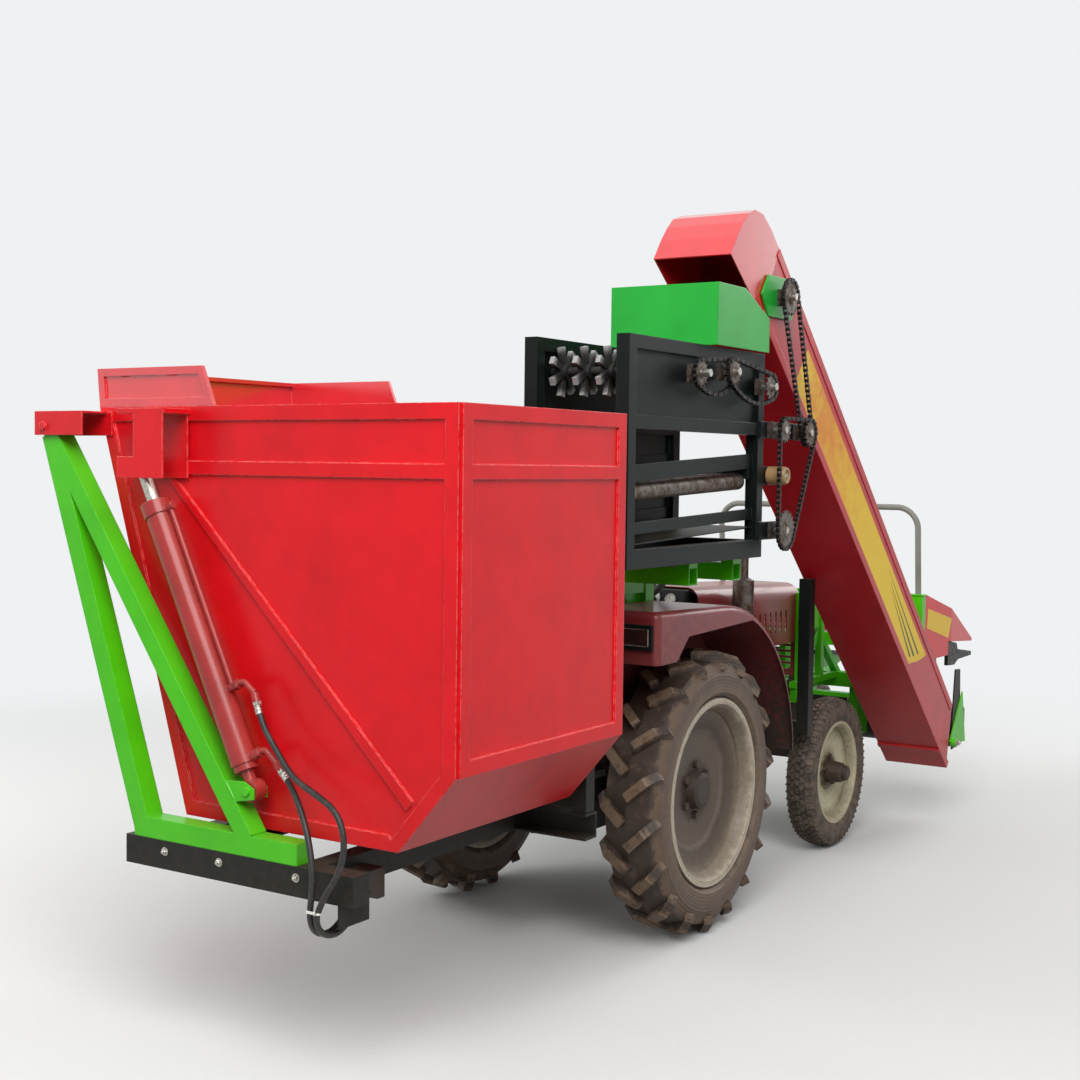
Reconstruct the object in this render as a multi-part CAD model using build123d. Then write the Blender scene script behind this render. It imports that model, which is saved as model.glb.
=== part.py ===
"""Tractor-mounted corn harvester, two rows, with a side elevator and a side-tipping bin.

Millimetres. +X is the machine's right, +Y forward, +Z up. Sizes below are given from the point on
the ground under the middle of the rear axle; placed() moves every piece to the model's own origin,
on the ground under the middle of the machine's length and width.
"""
import math
import os

from build123d import *

os.makedirs("parts", exist_ok=True)

# Overall ends of the machine, from the rear axle.
LEFT_END = -762.0
RIGHT_END = 772.0
REAR_END = -1845.0
FRONT_END = 3180.0
MIDDLE_X = (LEFT_END + RIGHT_END) / 2
MIDDLE_Y = (REAR_END + FRONT_END) / 2

# Tractor.
WHEELBASE = 1453.0
REAR_TRACK_HALF = 480.0
REAR_TYRE_R = 500.0
REAR_TYRE_HALF_WIDTH = 105.0
LUGS_PER_SIDE = 18
LUG_ANGLE = 42.0
FRONT_TRACK_HALF = 400.0
FRONT_TYRE_R = 324.0
FRONT_TYRE_HALF_WIDTH = 62.0
KINGPIN_X = 296.0
STEER_ARM = 130.0
AXLE_BEAM_Z = 410.0

# Mudguards: the flat top falls gently to the start of the arched nose, which ends at the foot.
FENDER_INNER = 312.0
FENDER_OUTER = 622.0
FENDER_REAR = -525.0
FENDER_ARCH_START = (-10.0, 1160.0)
FENDER_FOOT = (592.0, 578.0)
FENDER_FALL = math.radians(1.5)
FENDER_BAND = 26.0

# Bonnet.
BONNET_HALF = 175.0
BONNET_REAR = 640.0
BONNET_FRONT = 1640.0

# Bin, tipped to the left about a pin line above its left side.
BIN_REAR = -1736.0
BIN_FRONT = -889.0
BIN_RIGHT = 700.0
BIN_TOP = 1793.0
BIN_LIP_TOP = 1905.0
BIN_LOW = 632.0
SHEET = 4.0
ANGLE_LEG = 42.0
ANGLE_PROUD = 7.0
PIVOT_X = -722.0
PIVOT_Z = 1735.0

# Tipping cylinders, in the plane of each stand.
STAND_REAR_Y = -1795.0
STAND_FRONT_Y = -826.0
TUBE = 60.0
CYLINDER_FOOT = (73.0, 751.0)
CYLINDER_EYE = (-354.0, 1619.0)
BARREL_R = 38.0
ROD_R = 20.0

# The hoses of the rear cylinder, from its two elbows to the connector block.
HOSE_D = 17.0
HOSE_UPPER = [(82, -1795, 991), (106, -1801, 936), (163, -1812, 878), (240, -1828, 808), (336, -1848, 782),
              (428, -1866, 748), (458, -1872, 672), (436, -1872, 590), (384, -1872, 520),
              (356, -1872, 455), (346, -1817, 400), (346, -1739, 400), (346, -1684, 455)]
HOSE_LOWER = [(172, -1795, 814), (214, -1804, 782), (272, -1830, 728), (320, -1852, 655), (350, -1869, 560),
              (336, -1872, 455), (322, -1817, 400), (322, -1739, 400), (322, -1684, 455)]

# Side elevator.
ELEVATOR_LEFT = 410.0
ELEVATOR_RIGHT = 700.0
HUSKER_LEFT = 330.0
HUSKER_RIGHT = 700.0
HUSKER_REAR = -878.0
HUSKER_FRONT = 74.0
HUSKER_TOP = 2032.0

# Header, lifted about the elevator's foot shaft.
HEADER_PIVOT = (2160.0, 430.0)
AUGER_AXIS = (2345.0, 430.0)
TROUGH_RIGHT = 690.0
HEADER_HALF = 540.0
HEADER_REAR = 2250.0
ROW_HALF = 245.0
LIFT_FOOT = (1790.0, 850.0)
LIFT_EYE = (2215.0, 850.0)


def block(x0, x1, y0, y1, z0, z1):
    """A block given by its limits along each axis."""
    centre = Pos((x0 + x1) / 2, (y0 + y1) / 2, (z0 + z1) / 2)
    return centre * Box(abs(x1 - x0), abs(y1 - y0), abs(z1 - z0))


def face_from(points):
    """A flat face with straight sides through points in one plane."""
    return make_face(Polyline(*points, close=True))


def plate_across(outline, y0, y1):
    """A plate square to Y, its outline given as (x, z)."""
    face = face_from([(x, y0, z) for x, z in outline])
    return extrude(face, amount=y1 - y0, dir=(0, 1, 0))


def plate_along(outline, x0, x1):
    """A plate square to X, its outline given as (y, z)."""
    face = face_from([(x0, y, z) for y, z in outline])
    return extrude(face, amount=x1 - x0, dir=(1, 0, 0))


def chain_loop(sprockets, x0, x1, sag=0.0):
    """A roller chain round sprockets square to X, given counter-clockwise as (y, z, radius).

    Its first strand hangs below the straight line by the sag angle at each end.
    """
    height = 14.0
    count = len(sprockets)
    legs = []
    for n in range(count):
        (y0, z0, r0), (y1, z1, r1) = sprockets[n], sprockets[(n + 1) % count]
        lean = math.atan2(z1 - z0, y1 - y0)
        outward = lean - math.acos((r0 - r1) / math.hypot(y1 - y0, z1 - z0))
        bow = sag if n == 0 else 0.0
        legs.append((outward - bow, outward, outward + bow))

    def outline(grow):
        def at(n, angle):
            y, z, r = sprockets[n % count]
            return Vector(x0, y + (r + grow) * math.cos(angle), z + (r + grow) * math.sin(angle))

        edges = []
        for n in range(count):
            leave, outward, arrive = legs[n]
            came = legs[n - 1][2]
            half_wrap = ((leave - came) % (2 * math.pi)) / 2
            edges.append(ThreePointArc(at(n, came), at(n, came + half_wrap), at(n, leave)))
            start, end = at(n, leave), at(n + 1, arrive)
            if sag and n == 0:
                depth = (end - start).length / 2 * math.tan(sag / 2)
                low = (start + end) / 2 + Vector(0, math.cos(outward), math.sin(outward)) * depth
                edges.append(ThreePointArc(start, low, end))
            else:
                edges.append(Line(start, end))
        return make_face(edges)

    return extrude(outline(height / 2) - outline(-height / 2), amount=x1 - x0, dir=(1, 0, 0))


def hexagon(start, end, across_flats):
    """A hexagonal nut or bolt head between two points."""
    axis = Vector(end) - Vector(start)
    plane = Plane(origin=start, z_dir=axis)
    return extrude(plane * RegularPolygon(across_flats / 2, 6, major_radius=False), amount=axis.length)


def cord_tube(points, diameter, name):
    """A hose as straight runs joined by arcs as large as the runs allow. Prints its least radius."""
    points = [Vector(p) for p in points]
    radii = []
    for before, here, after in zip(points, points[1:], points[2:]):
        turn = math.radians((here - before).get_angle(after - here))
        shorter = min((here - before).length, (after - here).length)
        radii.append(0.45 * shorter / math.tan(turn / 2))
    path = FilletPolyline(*points, radius=radii)
    section = Plane(origin=path @ 0, z_dir=path % 0) * Circle(diameter / 2)
    tube = sweep(section, path=path)
    print(name, "length", round(path.length), "mm, radii", [round(r) for r in radii])
    return tube


def sprocket(x0, x1, y, z, radius, teeth):
    """A flat toothed wheel square to X."""
    points = []
    for n in range(teeth):
        for share, r in ((0.0, radius - 5), (0.28, radius - 5), (0.42, radius + 5), (0.62, radius + 5)):
            angle = 2 * math.pi * (n + share) / teeth
            points.append((y + r * math.cos(angle), z + r * math.sin(angle)))
    return plate_along(points, x0, x1)


def bar(start, end, width, depth, across=(0, 1, 0)):
    """A straight bar of rectangular section. Its depth is measured along `across`."""
    axis = Vector(end) - Vector(start)
    side = Vector(across) - axis.normalized() * axis.normalized().dot(Vector(across))
    plane = Plane(origin=start, x_dir=side, z_dir=axis)
    return extrude(plane * Rectangle(depth, width), amount=axis.length)


def rod(start, end, radius):
    """A round bar between two points."""
    axis = Vector(end) - Vector(start)
    return extrude(Plane(origin=start, z_dir=axis) * Circle(radius), amount=axis.length)


def ring(start, end, outer, inner):
    """A round tube between two points."""
    axis = Vector(end) - Vector(start)
    plane = Plane(origin=start, z_dir=axis)
    return extrude(plane * (Circle(outer) - Circle(inner)), amount=axis.length)


def turned(profile):
    """A body turned about the X axis, its profile given as (x, radius)."""
    return revolve(make_face(Polyline(*profile, close=True)), axis=Axis.X)


def joined(pieces):
    """One solid, or several that don't touch, from overlapping pieces."""
    first, *rest = pieces
    return first.fuse(*rest) if rest else first


def placed(piece):
    """A piece moved from the rear-axle point to the model's origin."""
    return Pos(-MIDDLE_X, -MIDDLE_Y, 0) * piece


def save(name, *pieces):
    """Write one node from one or more solids."""
    solids = []
    for piece in pieces:
        solids.extend(placed(piece).solids())
    export_step(Compound(children=solids) if len(solids) > 1 else solids[0], f"parts/{name}.step")


# Wheels. Each is made at the origin with its outer side towards +X.
def lug(side):
    """One tread bar, leaning forward from the crown to the shoulder on one side."""
    length = 132.0
    width = 32.0
    side_view = [(0, 455), (0, 490), (8, 498), (92, 494), (length, 458), (length, 425)]
    face = face_from([(a, -width / 2, r) for a, r in side_view])
    bar_solid = extrude(face, amount=width, dir=(0, 1, 0))
    bar_solid = Pos(-0.42 * length, 0, 0) * bar_solid
    turned_bar = Rot(0, 0, LUG_ANGLE) * bar_solid
    placed_bar = Pos(46, 0, 0) * turned_bar
    return placed_bar if side > 0 else mirror(placed_bar, about=Plane.YZ)


def rear_tyre():
    """A lugged tractor tyre on a 24-inch rim."""
    half = REAR_TYRE_HALF_WIDTH
    carcass = turned([
        (-86, 334), (-half, 352), (-half, 412), (-half + 22, 458), (0, 470), (half - 22, 458), (half, 412),
        (half, 352), (86, 334), (86, 308), (-86, 308)])
    pitch = 360.0 / LUGS_PER_SIDE
    lugs = []
    for number in range(LUGS_PER_SIDE):
        lugs.append(Rot(number * pitch, 0, 0) * lug(+1))
        lugs.append(Rot((number + 0.5) * pitch, 0, 0) * lug(-1))
    return carcass.fuse(*lugs)


def rear_rim():
    """A pressed rim with a dished disc, its bolted centre and the axle flange behind it."""
    band = turned([
        (-96, 330), (-96, 310), (-84, 300), (-52, 284), (52, 284), (84, 300), (96, 310), (96, 330),
        (88, 330), (86, 308), (50, 291), (-50, 291), (-86, 308), (-88, 330)])
    disc = turned([
        (44, 286), (30, 286), (22, 250), (4, 205), (4, 62), (14, 62), (14, 196), (32, 240)])
    centre = turned([(-105, 0), (-105, 70), (-4, 70), (-4, 112), (5, 112), (13, 112), (13, 70), (46, 62),
                     (54, 48), (54, 0)])
    nuts = [Rot(60 * n, 0, 0) * hexagon((12, 0, 90), (29, 0, 90), 26) for n in range(6)]
    return joined([band, disc, centre, *nuts])


def front_tyre():
    """A narrow road tyre, its ribs split by three grooves."""
    half = FRONT_TYRE_HALF_WIDTH
    top = FRONT_TYRE_R
    profile = [
        (-46, 224), (-half, 245), (-half, 278), (-half + 8, 306), (-half + 22, top - 4),
        (-22, top), (-18, top - 8), (-14, top), (14, top), (18, top - 8), (22, top),
        (half - 22, top - 4), (half - 8, 306), (half, 278), (half, 245), (46, 224),
        (46, 206), (-46, 206)]
    return turned(profile)


def front_rim():
    """A small pressed rim with a turned hub and grease cap."""
    band = turned([
        (-54, 221), (-54, 210), (-44, 200), (-22, 187), (22, 187), (44, 200), (54, 210), (54, 221),
        (48, 221), (46, 206), (20, 193), (-20, 193), (-46, 206), (-48, 221)])
    disc = turned([(16, 189), (6, 189), (-4, 150), (-4, 60), (4, 60), (4, 146)])
    hub = turned([(-50, 20), (-50, 46), (-6, 52), (-6, 78), (10, 78), (10, 50), (72, 42), (80, 34),
                  (96, 32), (102, 22), (102, 0), (-20, 0), (-20, 20)])
    nuts = [Rot(72 * n, 0, 0) * hexagon((9, 0, 64), (23, 0, 64), 19) for n in range(5)]
    return joined([band, disc, hub, *nuts])


# Rows: name, piece maker, centre (x, y, z).
WHEELS = [
    ("rear_tyre", rear_tyre, REAR_TRACK_HALF, 0.0, REAR_TYRE_R),
    ("rear_rim", rear_rim, REAR_TRACK_HALF, 0.0, REAR_TYRE_R),
    ("front_tyre", front_tyre, FRONT_TRACK_HALF, WHEELBASE, FRONT_TYRE_R),
    ("front_rim", front_rim, FRONT_TRACK_HALF, WHEELBASE, FRONT_TYRE_R),
]


def write_wheels():
    """The four wheels, the left ones mirrored."""
    for name, maker, x, y, z in WHEELS:
        right = Pos(x, y, z) * maker()
        save(f"{name}_right", right)
        save(f"{name}_left", mirror(right, about=Plane.YZ))


# Tractor.
def chassis():
    """Gearbox, axle trumpets and clutch housing, cast in one line."""
    gearbox = block(-150, 150, -190, 230, 330, 760)
    hitch_cover = block(-120, 120, -230, 120, 755, 830)
    trumpets = rod((-372, 0, REAR_TYRE_R), (372, 0, REAR_TYRE_R), 58)
    flanges = [rod((s * 350, 0, REAR_TYRE_R), (s * 372, 0, REAR_TYRE_R), 88) for s in (-1, 1)]
    tunnel_rear = Plane(origin=(0, 225, 540), x_dir=(1, 0, 0), z_dir=(0, 1, 0)) * Rectangle(270, 360)
    tunnel_front = Plane(origin=(0, 722, 600), x_dir=(1, 0, 0), z_dir=(0, 1, 0)) * Rectangle(230, 260)
    tunnel = loft([tunnel_rear, tunnel_front])
    return joined([gearbox, hitch_cover, trumpets, *flanges, tunnel])


def engine():
    """The open engine: sump, crankcase, cylinder block, head and covers with what is bolted on."""
    sump = loft([Plane(origin=(0, 905, 400)) * Rectangle(130, 250), Plane(origin=(0, 905, 480)) * Rectangle(190, 330)])
    bell = block(-126, 126, 722, 762, 470, 730)
    crankcase = block(-105, 105, 722, 1090, 470, 690)
    barrels = [block(-82, 82, y, y + 150, 690, 850) for y in (770, 925)]
    head = block(-90, 90, 765, 1080, 850, 905)
    cover = fillet(block(-62, 62, 780, 1065, 905, 962).edges().filter_by(Axis.Y), 18)
    timing = plate_across([(-105, 470), (105, 470), (105, 700), (60, 800), (-60, 800), (-105, 700)], 1090, 1118)
    mounts = [block(s * 100, s * 128, y, y + 60, 520, 588) for s in (-1, 1) for y in (790, 1010)]
    log = rod((128, 790, 820), (128, 1060, 820), 24)
    runners = [rod((80, y, 820), (128, y, 820), 20) for y in (845, 1000)]
    pulley = rod((0, 1118, 560), (0, 1150, 560), 62)
    fan_hub = rod((0, 1118, 800), (0, 1165, 800), 32)
    blades = [Pos(0, 1176, 800) * Rot(0, 60 * n, 0) * Pos(0, 0, 84) * Rot(0, 0, 28) * Box(58, 5, 130)
              for n in range(6)]
    hub_plate = rod((0, 1163, 800), (0, 1188, 800), 40)
    starter = rod((118, 762, 628), (118, 900, 628), 34)
    pump = block(-150, -100, 830, 990, 640, 740)
    intake = rod((-112, 790, 870), (-112, 1050, 870), 26)
    filter_can = rod((-148, 1010, 594), (-148, 1010, 664), 34)
    filter_arm = block(-148, -90, 985, 1035, 655, 686)
    return joined([sump, bell, crankcase, *barrels, head, cover, timing, *mounts, log, *runners, pulley, fan_hub,
                   *blades, hub_plate, starter, pump, intake, filter_can, filter_arm])


def radiator():
    """The radiator on the front rails, its core between two tanks."""
    core = block(-150, 150, 1232, 1282, 640, 1020)
    top_tank = fillet(block(-155, 155, 1222, 1292, 1020, 1080).edges().filter_by(Axis.X), 16)
    low_tank = block(-155, 155, 1226, 1288, 600, 640)
    feet = [block(s * 130, s * 155, 1230, 1284, 590, 600) for s in (-1, 1)]
    neck = rod((0, 1257, 1080), (0, 1257, 1096), 24)
    frame = [block(s * 150, s * 158, 1228, 1286, 636, 1024) for s in (-1, 1)]
    return joined([core, top_tank, low_tank, *feet, neck, *frame])


def front_frame():
    """Two rails from the engine to a cross member over the axle pivot."""
    rails = [block(s * 128, s * 168, 700, 1690, 500, 590) for s in (-1, 1)]
    cross = block(-168, 168, 1380, 1526, 500, 560)
    nose = block(-168, 168, 1650, 1700, 480, 610)
    tow_lug = block(-35, 35, 1695, 1765, 495, 555)
    grille_feet = [block(s * 132, s * 162, 1640, 1665, 605, 700) for s in (-1, 1)]
    body = joined([*rails, cross, nose, tow_lug, *grille_feet])
    return body - rod((0, 1730, 480), (0, 1730, 570), 13)


def front_axle():
    """The axle beam with a boss for each kingpin and the block it rocks on."""
    beam = block(-285, 285, WHEELBASE - 34, WHEELBASE + 34, AXLE_BEAM_Z - 40, AXLE_BEAM_Z + 46)
    bosses = [ring((s * KINGPIN_X, WHEELBASE, AXLE_BEAM_Z - 62),
                   (s * KINGPIN_X, WHEELBASE, AXLE_BEAM_Z + 62), 32, 17) for s in (-1, 1)]
    rocker = block(-60, 60, 1395, 1511, AXLE_BEAM_Z + 40, 500)
    body = joined([beam, rocker, *bosses])
    for s in (-1, 1):
        body = body - rod((s * KINGPIN_X, WHEELBASE, AXLE_BEAM_Z - 80),
                          (s * KINGPIN_X, WHEELBASE, AXLE_BEAM_Z + 80), 17)
    return body


def knuckle(side):
    """Kingpin, stub axle and steering arm of one front wheel."""
    x = side * KINGPIN_X
    pin = rod((x, WHEELBASE, AXLE_BEAM_Z - 66), (x, WHEELBASE, AXLE_BEAM_Z + 66), 16)
    foot = block(x - 28, x + 28, WHEELBASE - 28, WHEELBASE + 28, FRONT_TYRE_R - 30, AXLE_BEAM_Z - 66)
    stub = rod((x, WHEELBASE, FRONT_TYRE_R), (side * (FRONT_TRACK_HALF - 24), WHEELBASE, FRONT_TYRE_R), 18)
    arm_z = AXLE_BEAM_Z + 66
    head = rod((x, WHEELBASE, arm_z), (x, WHEELBASE, arm_z + 22), 34)
    arm = bar((x, WHEELBASE, arm_z + 11), (x, WHEELBASE - STEER_ARM, arm_z + 11), 22, 34, (1, 0, 0))
    arm_eye = ring((x, WHEELBASE - STEER_ARM, arm_z), (x, WHEELBASE - STEER_ARM, arm_z + 22), 22, 9)
    hole = rod((x, WHEELBASE - STEER_ARM, arm_z - 5), (x, WHEELBASE - STEER_ARM, arm_z + 30), 9)
    return joined([pin, foot, stub, head, arm, arm_eye]) - hole


def tie_rod():
    """The rod between the two steering arms, with a ball pin at each end."""
    z = AXLE_BEAM_Z + 66 - 22
    y = WHEELBASE - STEER_ARM
    tube = rod((-KINGPIN_X, y, z), (KINGPIN_X, y, z), 13)
    ends = [rod((s * KINGPIN_X, y, z - 14), (s * KINGPIN_X, y, z + 14), 22) for s in (-1, 1)]
    pins = [rod((s * KINGPIN_X, y, z), (s * KINGPIN_X, y, z + 42), 8) for s in (-1, 1)]
    return joined([tube, *ends, *pins])


def arch_face(y, half, low, top, corner):
    """The bonnet's cross-section at y, with rounded upper corners."""
    outline = FilletPolyline((-half, y, low), (-half, y, top), (half, y, top), (half, y, low), radius=corner)
    return make_face([*outline.edges(), Line((half, y, low), (-half, y, low))])


def bonnet():
    """The engine's sheet cover: an arch that falls towards the front, with louvres in its sides."""
    wall = 4.0
    low = 860.0
    outer = loft([arch_face(BONNET_REAR, BONNET_HALF, low, 1160, 55),
                  arch_face(BONNET_FRONT, BONNET_HALF, low, 1122, 75)])
    inner = loft([arch_face(BONNET_REAR - 10, BONNET_HALF - wall, low - 10, 1160.4 - wall, 55 - wall),
                  arch_face(BONNET_FRONT + 10, BONNET_HALF - wall, low - 10, 1121.6 - wall, 75 - wall)])
    shell = outer - inner
    slots = [block(-BONNET_HALF - 10, BONNET_HALF + 10, y, y + 14, 915, 1010) for y in range(1000, 1500, 55)]
    return shell - joined(slots)


def grille():
    """The front panel: two round lamps above level bars."""
    face = arch_face(BONNET_FRONT, BONNET_HALF, 700, 1122, 75)
    panel = extrude(face, amount=14, dir=(0, 1, 0))
    window = fillet(block(-140, 140, 1630, 1664, 730, 960).edges().filter_by(Axis.Y), 20)
    panel = panel - window
    bars = [block(-142, 142, 1643, 1651, z, z + 10) for z in range(752, 945, 27)]
    lamps = []
    for s in (-1, 1):
        x, z = s * 92, 1035
        bowl = revolve(make_face(Polyline((0, 1630, 0), (30, 1630, 0), (52, 1654, 0), (58, 1660, 0), (58, 1666, 0),
                                          (50, 1666, 0), (46, 1658, 0), (0, 1640, 0), close=True)), axis=Axis.Y)
        lamps.append(Pos(x, 0, z) * bowl)
    return joined([panel, *bars, *lamps])


def fender(side):
    """A pressed mudguard: flat top, arched nose, turned-down outer band and an inner wall."""
    wall = 4.0
    edge_radius = 26.0
    low = FENDER_FOOT[1] - 12
    start = Vector(0, *FENDER_ARCH_START)
    chord = Vector(0, *FENDER_FOOT) - start
    turn = math.atan2(-chord.Z, chord.Y) - FENDER_FALL
    radius = chord.length / (2 * math.sin(turn))
    centre = start - Vector(0, math.sin(FENDER_FALL), math.cos(FENDER_FALL)) * radius
    foot_angle = math.atan2(FENDER_FOOT[1] - centre.Z, FENDER_FOOT[0] - centre.Y)

    def on_arch(shrink, angle):
        return centre + Vector(0, math.cos(angle), math.sin(angle)) * (radius - shrink)

    def form(x0, x1, shrink, round_off, bottom):
        """The mudguard's whole volume, set in by a distance."""
        start_angle = math.pi / 2 - FENDER_FALL
        first = on_arch(shrink, start_angle)
        last = on_arch(shrink, foot_angle)
        rear = FENDER_REAR + shrink
        rear_top = first.Z + (first.Y - rear) * math.tan(FENDER_FALL)
        top = FilletPolyline((0, rear, bottom), (0, rear, rear_top), first, radius=22 - shrink)
        arch = ThreePointArc(first, on_arch(shrink, (start_angle + foot_angle) / 2), last)
        face = make_face([*top.edges(), arch, Line(last, (0, last.Y, bottom)),
                          Line((0, last.Y, bottom), (0, rear, bottom))])
        solid = Pos(x0, 0, 0) * extrude(face, amount=x1 - x0, dir=(1, 0, 0))
        rim = [edge for edge in solid.edges()
               if edge.center().X > x1 - 0.1 and edge.center().Z > bottom + 1 and edge.center().Y < last.Y - 1]
        return fillet(rim, round_off)

    shell = (form(FENDER_INNER, FENDER_OUTER, 0, edge_radius, low)
             - form(FENDER_INNER + wall, FENDER_OUTER - wall, wall, edge_radius - wall, low - 10))
    band_start = on_arch(FENDER_BAND, math.radians(69))
    band_end = on_arch(FENDER_BAND, foot_angle)
    band_middle = on_arch(FENDER_BAND, (math.radians(69) + foot_angle) / 2)
    cut_x = FENDER_INNER + wall
    corners = [(FENDER_REAR - 20, 1000), (-395, 1002), (-310, 1079)]
    edges = Polyline(*[(cut_x, y, z) for y, z in corners], (cut_x, band_start.Y, band_start.Z)).edges()
    shift = Vector(cut_x, 0, 0)
    below = make_face([*edges, ThreePointArc(band_start + shift, band_middle + shift, band_end + shift),
                       *Polyline(band_end + shift, (cut_x, band_end.Y, 500), (cut_x, FENDER_REAR - 20, 500),
                                 (cut_x, FENDER_REAR - 20, 1000)).edges()])
    body = shell - extrude(below, amount=400, dir=(1, 0, 0))
    body = body - plate_along([(FENDER_REAR - 20, 1000), (FENDER_REAR - 20, 500), (-300, 500), (-300, 562)],
                              FENDER_INNER - 10, FENDER_INNER + 10)
    body = body - block(470, 596, FENDER_REAR - 10, FENDER_REAR + 10, 1057, 1123)
    return body if side > 0 else mirror(body, about=Plane.YZ)


def tail_lamps():
    """A lamp set in a window on the back of each mudguard, behind a raised frame."""
    lamps = []
    for s in (-1, 1):
        frame = block(s * 462, s * 604, FENDER_REAR - 12, FENDER_REAR, 1049, 1131)
        body = block(s * 472, s * 594, FENDER_REAR, FENDER_REAR + 45, 1059, 1121)
        recess = block(s * 474, s * 592, FENDER_REAR - 20, FENDER_REAR - 4, 1061, 1119)
        lamps.append(joined([frame, body]) - recess)
    return lamps


def footplates():
    """Two chequered steps between the mudguards and the gearbox."""
    plates = []
    for s in (-1, 1):
        deck = block(s * 150, s * 355, 250, 760, 430, 438)
        brackets = [block(s * 100, s * 355, y, y + 40, 395, 431) for y in (290, 660)]
        plates.append(joined([deck, *brackets]) - chassis())
    return plates


def seat():
    """The seat's cushion and backrest, resting on the pan."""
    cushion = fillet(block(-205, 205, -330, 60, 985, 1040).edges(), 20)
    back = fillet(block(-200, 200, -385, -332, 1010, 1236).edges(), 20)
    return [cushion, back]


def seat_post():
    """The spring arm that carries the seat, with the pan and the backrest's bars."""
    arm = block(-45, 45, -120, -60, 830, 940)
    coils = rod((0, -90, 935), (0, -90, 965), 40)
    pan = block(-150, 150, -290, 40, 965, 985)
    bars = [plate_along([(-290, 965), (-290, 985), (-385, 985), (-385, 1220), (-400, 1220), (-400, 965)],
                        s * 110, s * 140) for s in (-1, 1)]
    return joined([arm, coils, pan, *bars])


def steering_column():
    """Dash tower with a sloping instrument panel, and the tube of the steering column."""
    tower = plate_along([(560, 745), (560, 1075), (596, 1150), (638, 1150), (638, 745)], -140, 140)
    lower = plate_along([(520, 745), (560, 745), (560, 900), (545, 900)], -60, 60)
    tube = rod((0, 600, 1074), (0, 390, 1235), 26)
    return joined([tower, lower, tube])


def steering_wheel():
    """A rim on three spokes."""
    centre = Vector(0, 372, 1249)
    direction = (Vector(0, 390, 1235) - Vector(0, 585, 1085)).normalized()
    plane = Plane(origin=centre, x_dir=(1, 0, 0), z_dir=direction)
    hoop = plane * Torus(190, 13)
    hub = plane * Pos(0, 0, 0) * Cylinder(34, 30)
    spokes = []
    for n in range(3):
        spoke = plane * (Rot(0, 0, 90 + 120 * n) * (Pos(105, 0, 0) * Box(170, 22, 10)))
        spokes.append(spoke)
    return joined([hoop, hub, *spokes])


def exhaust():
    """The exhaust: elbow from the manifold, silencer, and a tail pipe cut on the slant."""
    x = 235.0
    y = 925.0
    path = FilletPolyline((152, y, 820), (x, y, 820), (x, y, 1330), radius=45)
    pipe = sweep(Plane(origin=path @ 0, z_dir=path % 0) * Circle(20), path=path)
    flange = rod((152, y, 820), (160, y, 820), 32)
    can = turned([(900, 0), (900, 20), (912, 44), (1178, 44), (1190, 20), (1190, 0)])
    can = Pos(x, y, 0) * Rot(0, -90, 0) * can
    cut = plate_along([(y - 60, 1345), (y + 60, 1345), (y + 60, 1290)], x - 60, x + 60)
    return joined([pipe, flange, can]) - cut


# Frames behind the tractor.
def channel(low, high, web, open_side):
    """A channel section as (across, up), its web at one side and its flanges towards the other."""
    sheet = 7.0
    inward = 1 if open_side > web else -1
    return [(web, low), (open_side, low), (open_side, low + sheet), (web + inward * sheet, low + sheet),
            (web + inward * sheet, high - sheet), (open_side, high - sheet), (open_side, high), (web, high)]


def base_frame():
    """Black channel beams under the bin, run forward to the axle trumpets."""
    low = 494.0
    top = 575.0
    rear_beam = plate_along(channel(low, top, -1826, -1760), -387, 446)
    mid_beam = plate_along(channel(low, top, -792, -860), -387, 560)
    sides = [plate_across(channel(low, top, s * 300, s * 240), -1822, -58) for s in (-1, 1)]
    saddles = [block(s * 236, s * 304, -110, 90, 430, 580) for s in (-1, 1)]
    end_plates = [block(x, x + 6, -1826, -1760, low, top) for x in (-387, 440)]
    hanger = block(392, 398, -1822, -1700, 430, 500)
    frame = joined([rear_beam, mid_beam, *sides, *saddles, *end_plates, hanger])
    return frame - rod((-400, 0, REAR_TYRE_R), (400, 0, REAR_TYRE_R), 58.2)


def stand(y):
    """A green triangle of square tube, with the tipping pin at its apex and the cylinder's foot lugs."""
    half = TUBE / 2
    base = block(-355, 253, y - half, y + half, 575, 633)
    left = bar((-325, y, 600), (PIVOT_X + 8, y, PIVOT_Z - 22), 60, TUBE)
    right = bar((70, y, 620), (PIVOT_X + 12, y, PIVOT_Z - 22), 54, TUBE)
    head = rod((PIVOT_X, y - half, PIVOT_Z), (PIVOT_X, y + half, PIVOT_Z), 30)
    x, z = CYLINDER_FOOT
    lugs = []
    for offset in (-28, 22):
        lugs.append(plate_across([(x - 120, z + 20), (x - 12, z + 26), (x + 24, z + 8), (x + 24, z - 20),
                                  (x - 8, z - 26), (x - 78, z - 40)], y + offset, y + offset + 6))
    pin = rod((x, y - 36, z), (x, y + 36, z), 12)
    body = joined([base, left, right, head, *lugs, pin])
    return body - rod((PIVOT_X, y - 60, PIVOT_Z), (PIVOT_X, y + 60, PIVOT_Z), 13)


def rear_columns():
    """Black columns on the base frame that carry the husker's rear end."""
    posts = [block(x, x + 50, -850, -800, 575, 1330) for x in (345, 505)]
    knee = block(345, 555, -840, -810, 900, 950)
    return joined([*posts, knee])


# Bin.
def bin_outline(grow=0.0):
    """The bin's cross-section as (x, z), left top first."""
    return [(-597 - grow, BIN_TOP), (-240 - grow, BIN_LOW - grow), (520 + grow, BIN_LOW - grow),
            (BIN_RIGHT + grow, 844 - grow), (BIN_RIGHT + grow, BIN_TOP)]


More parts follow.
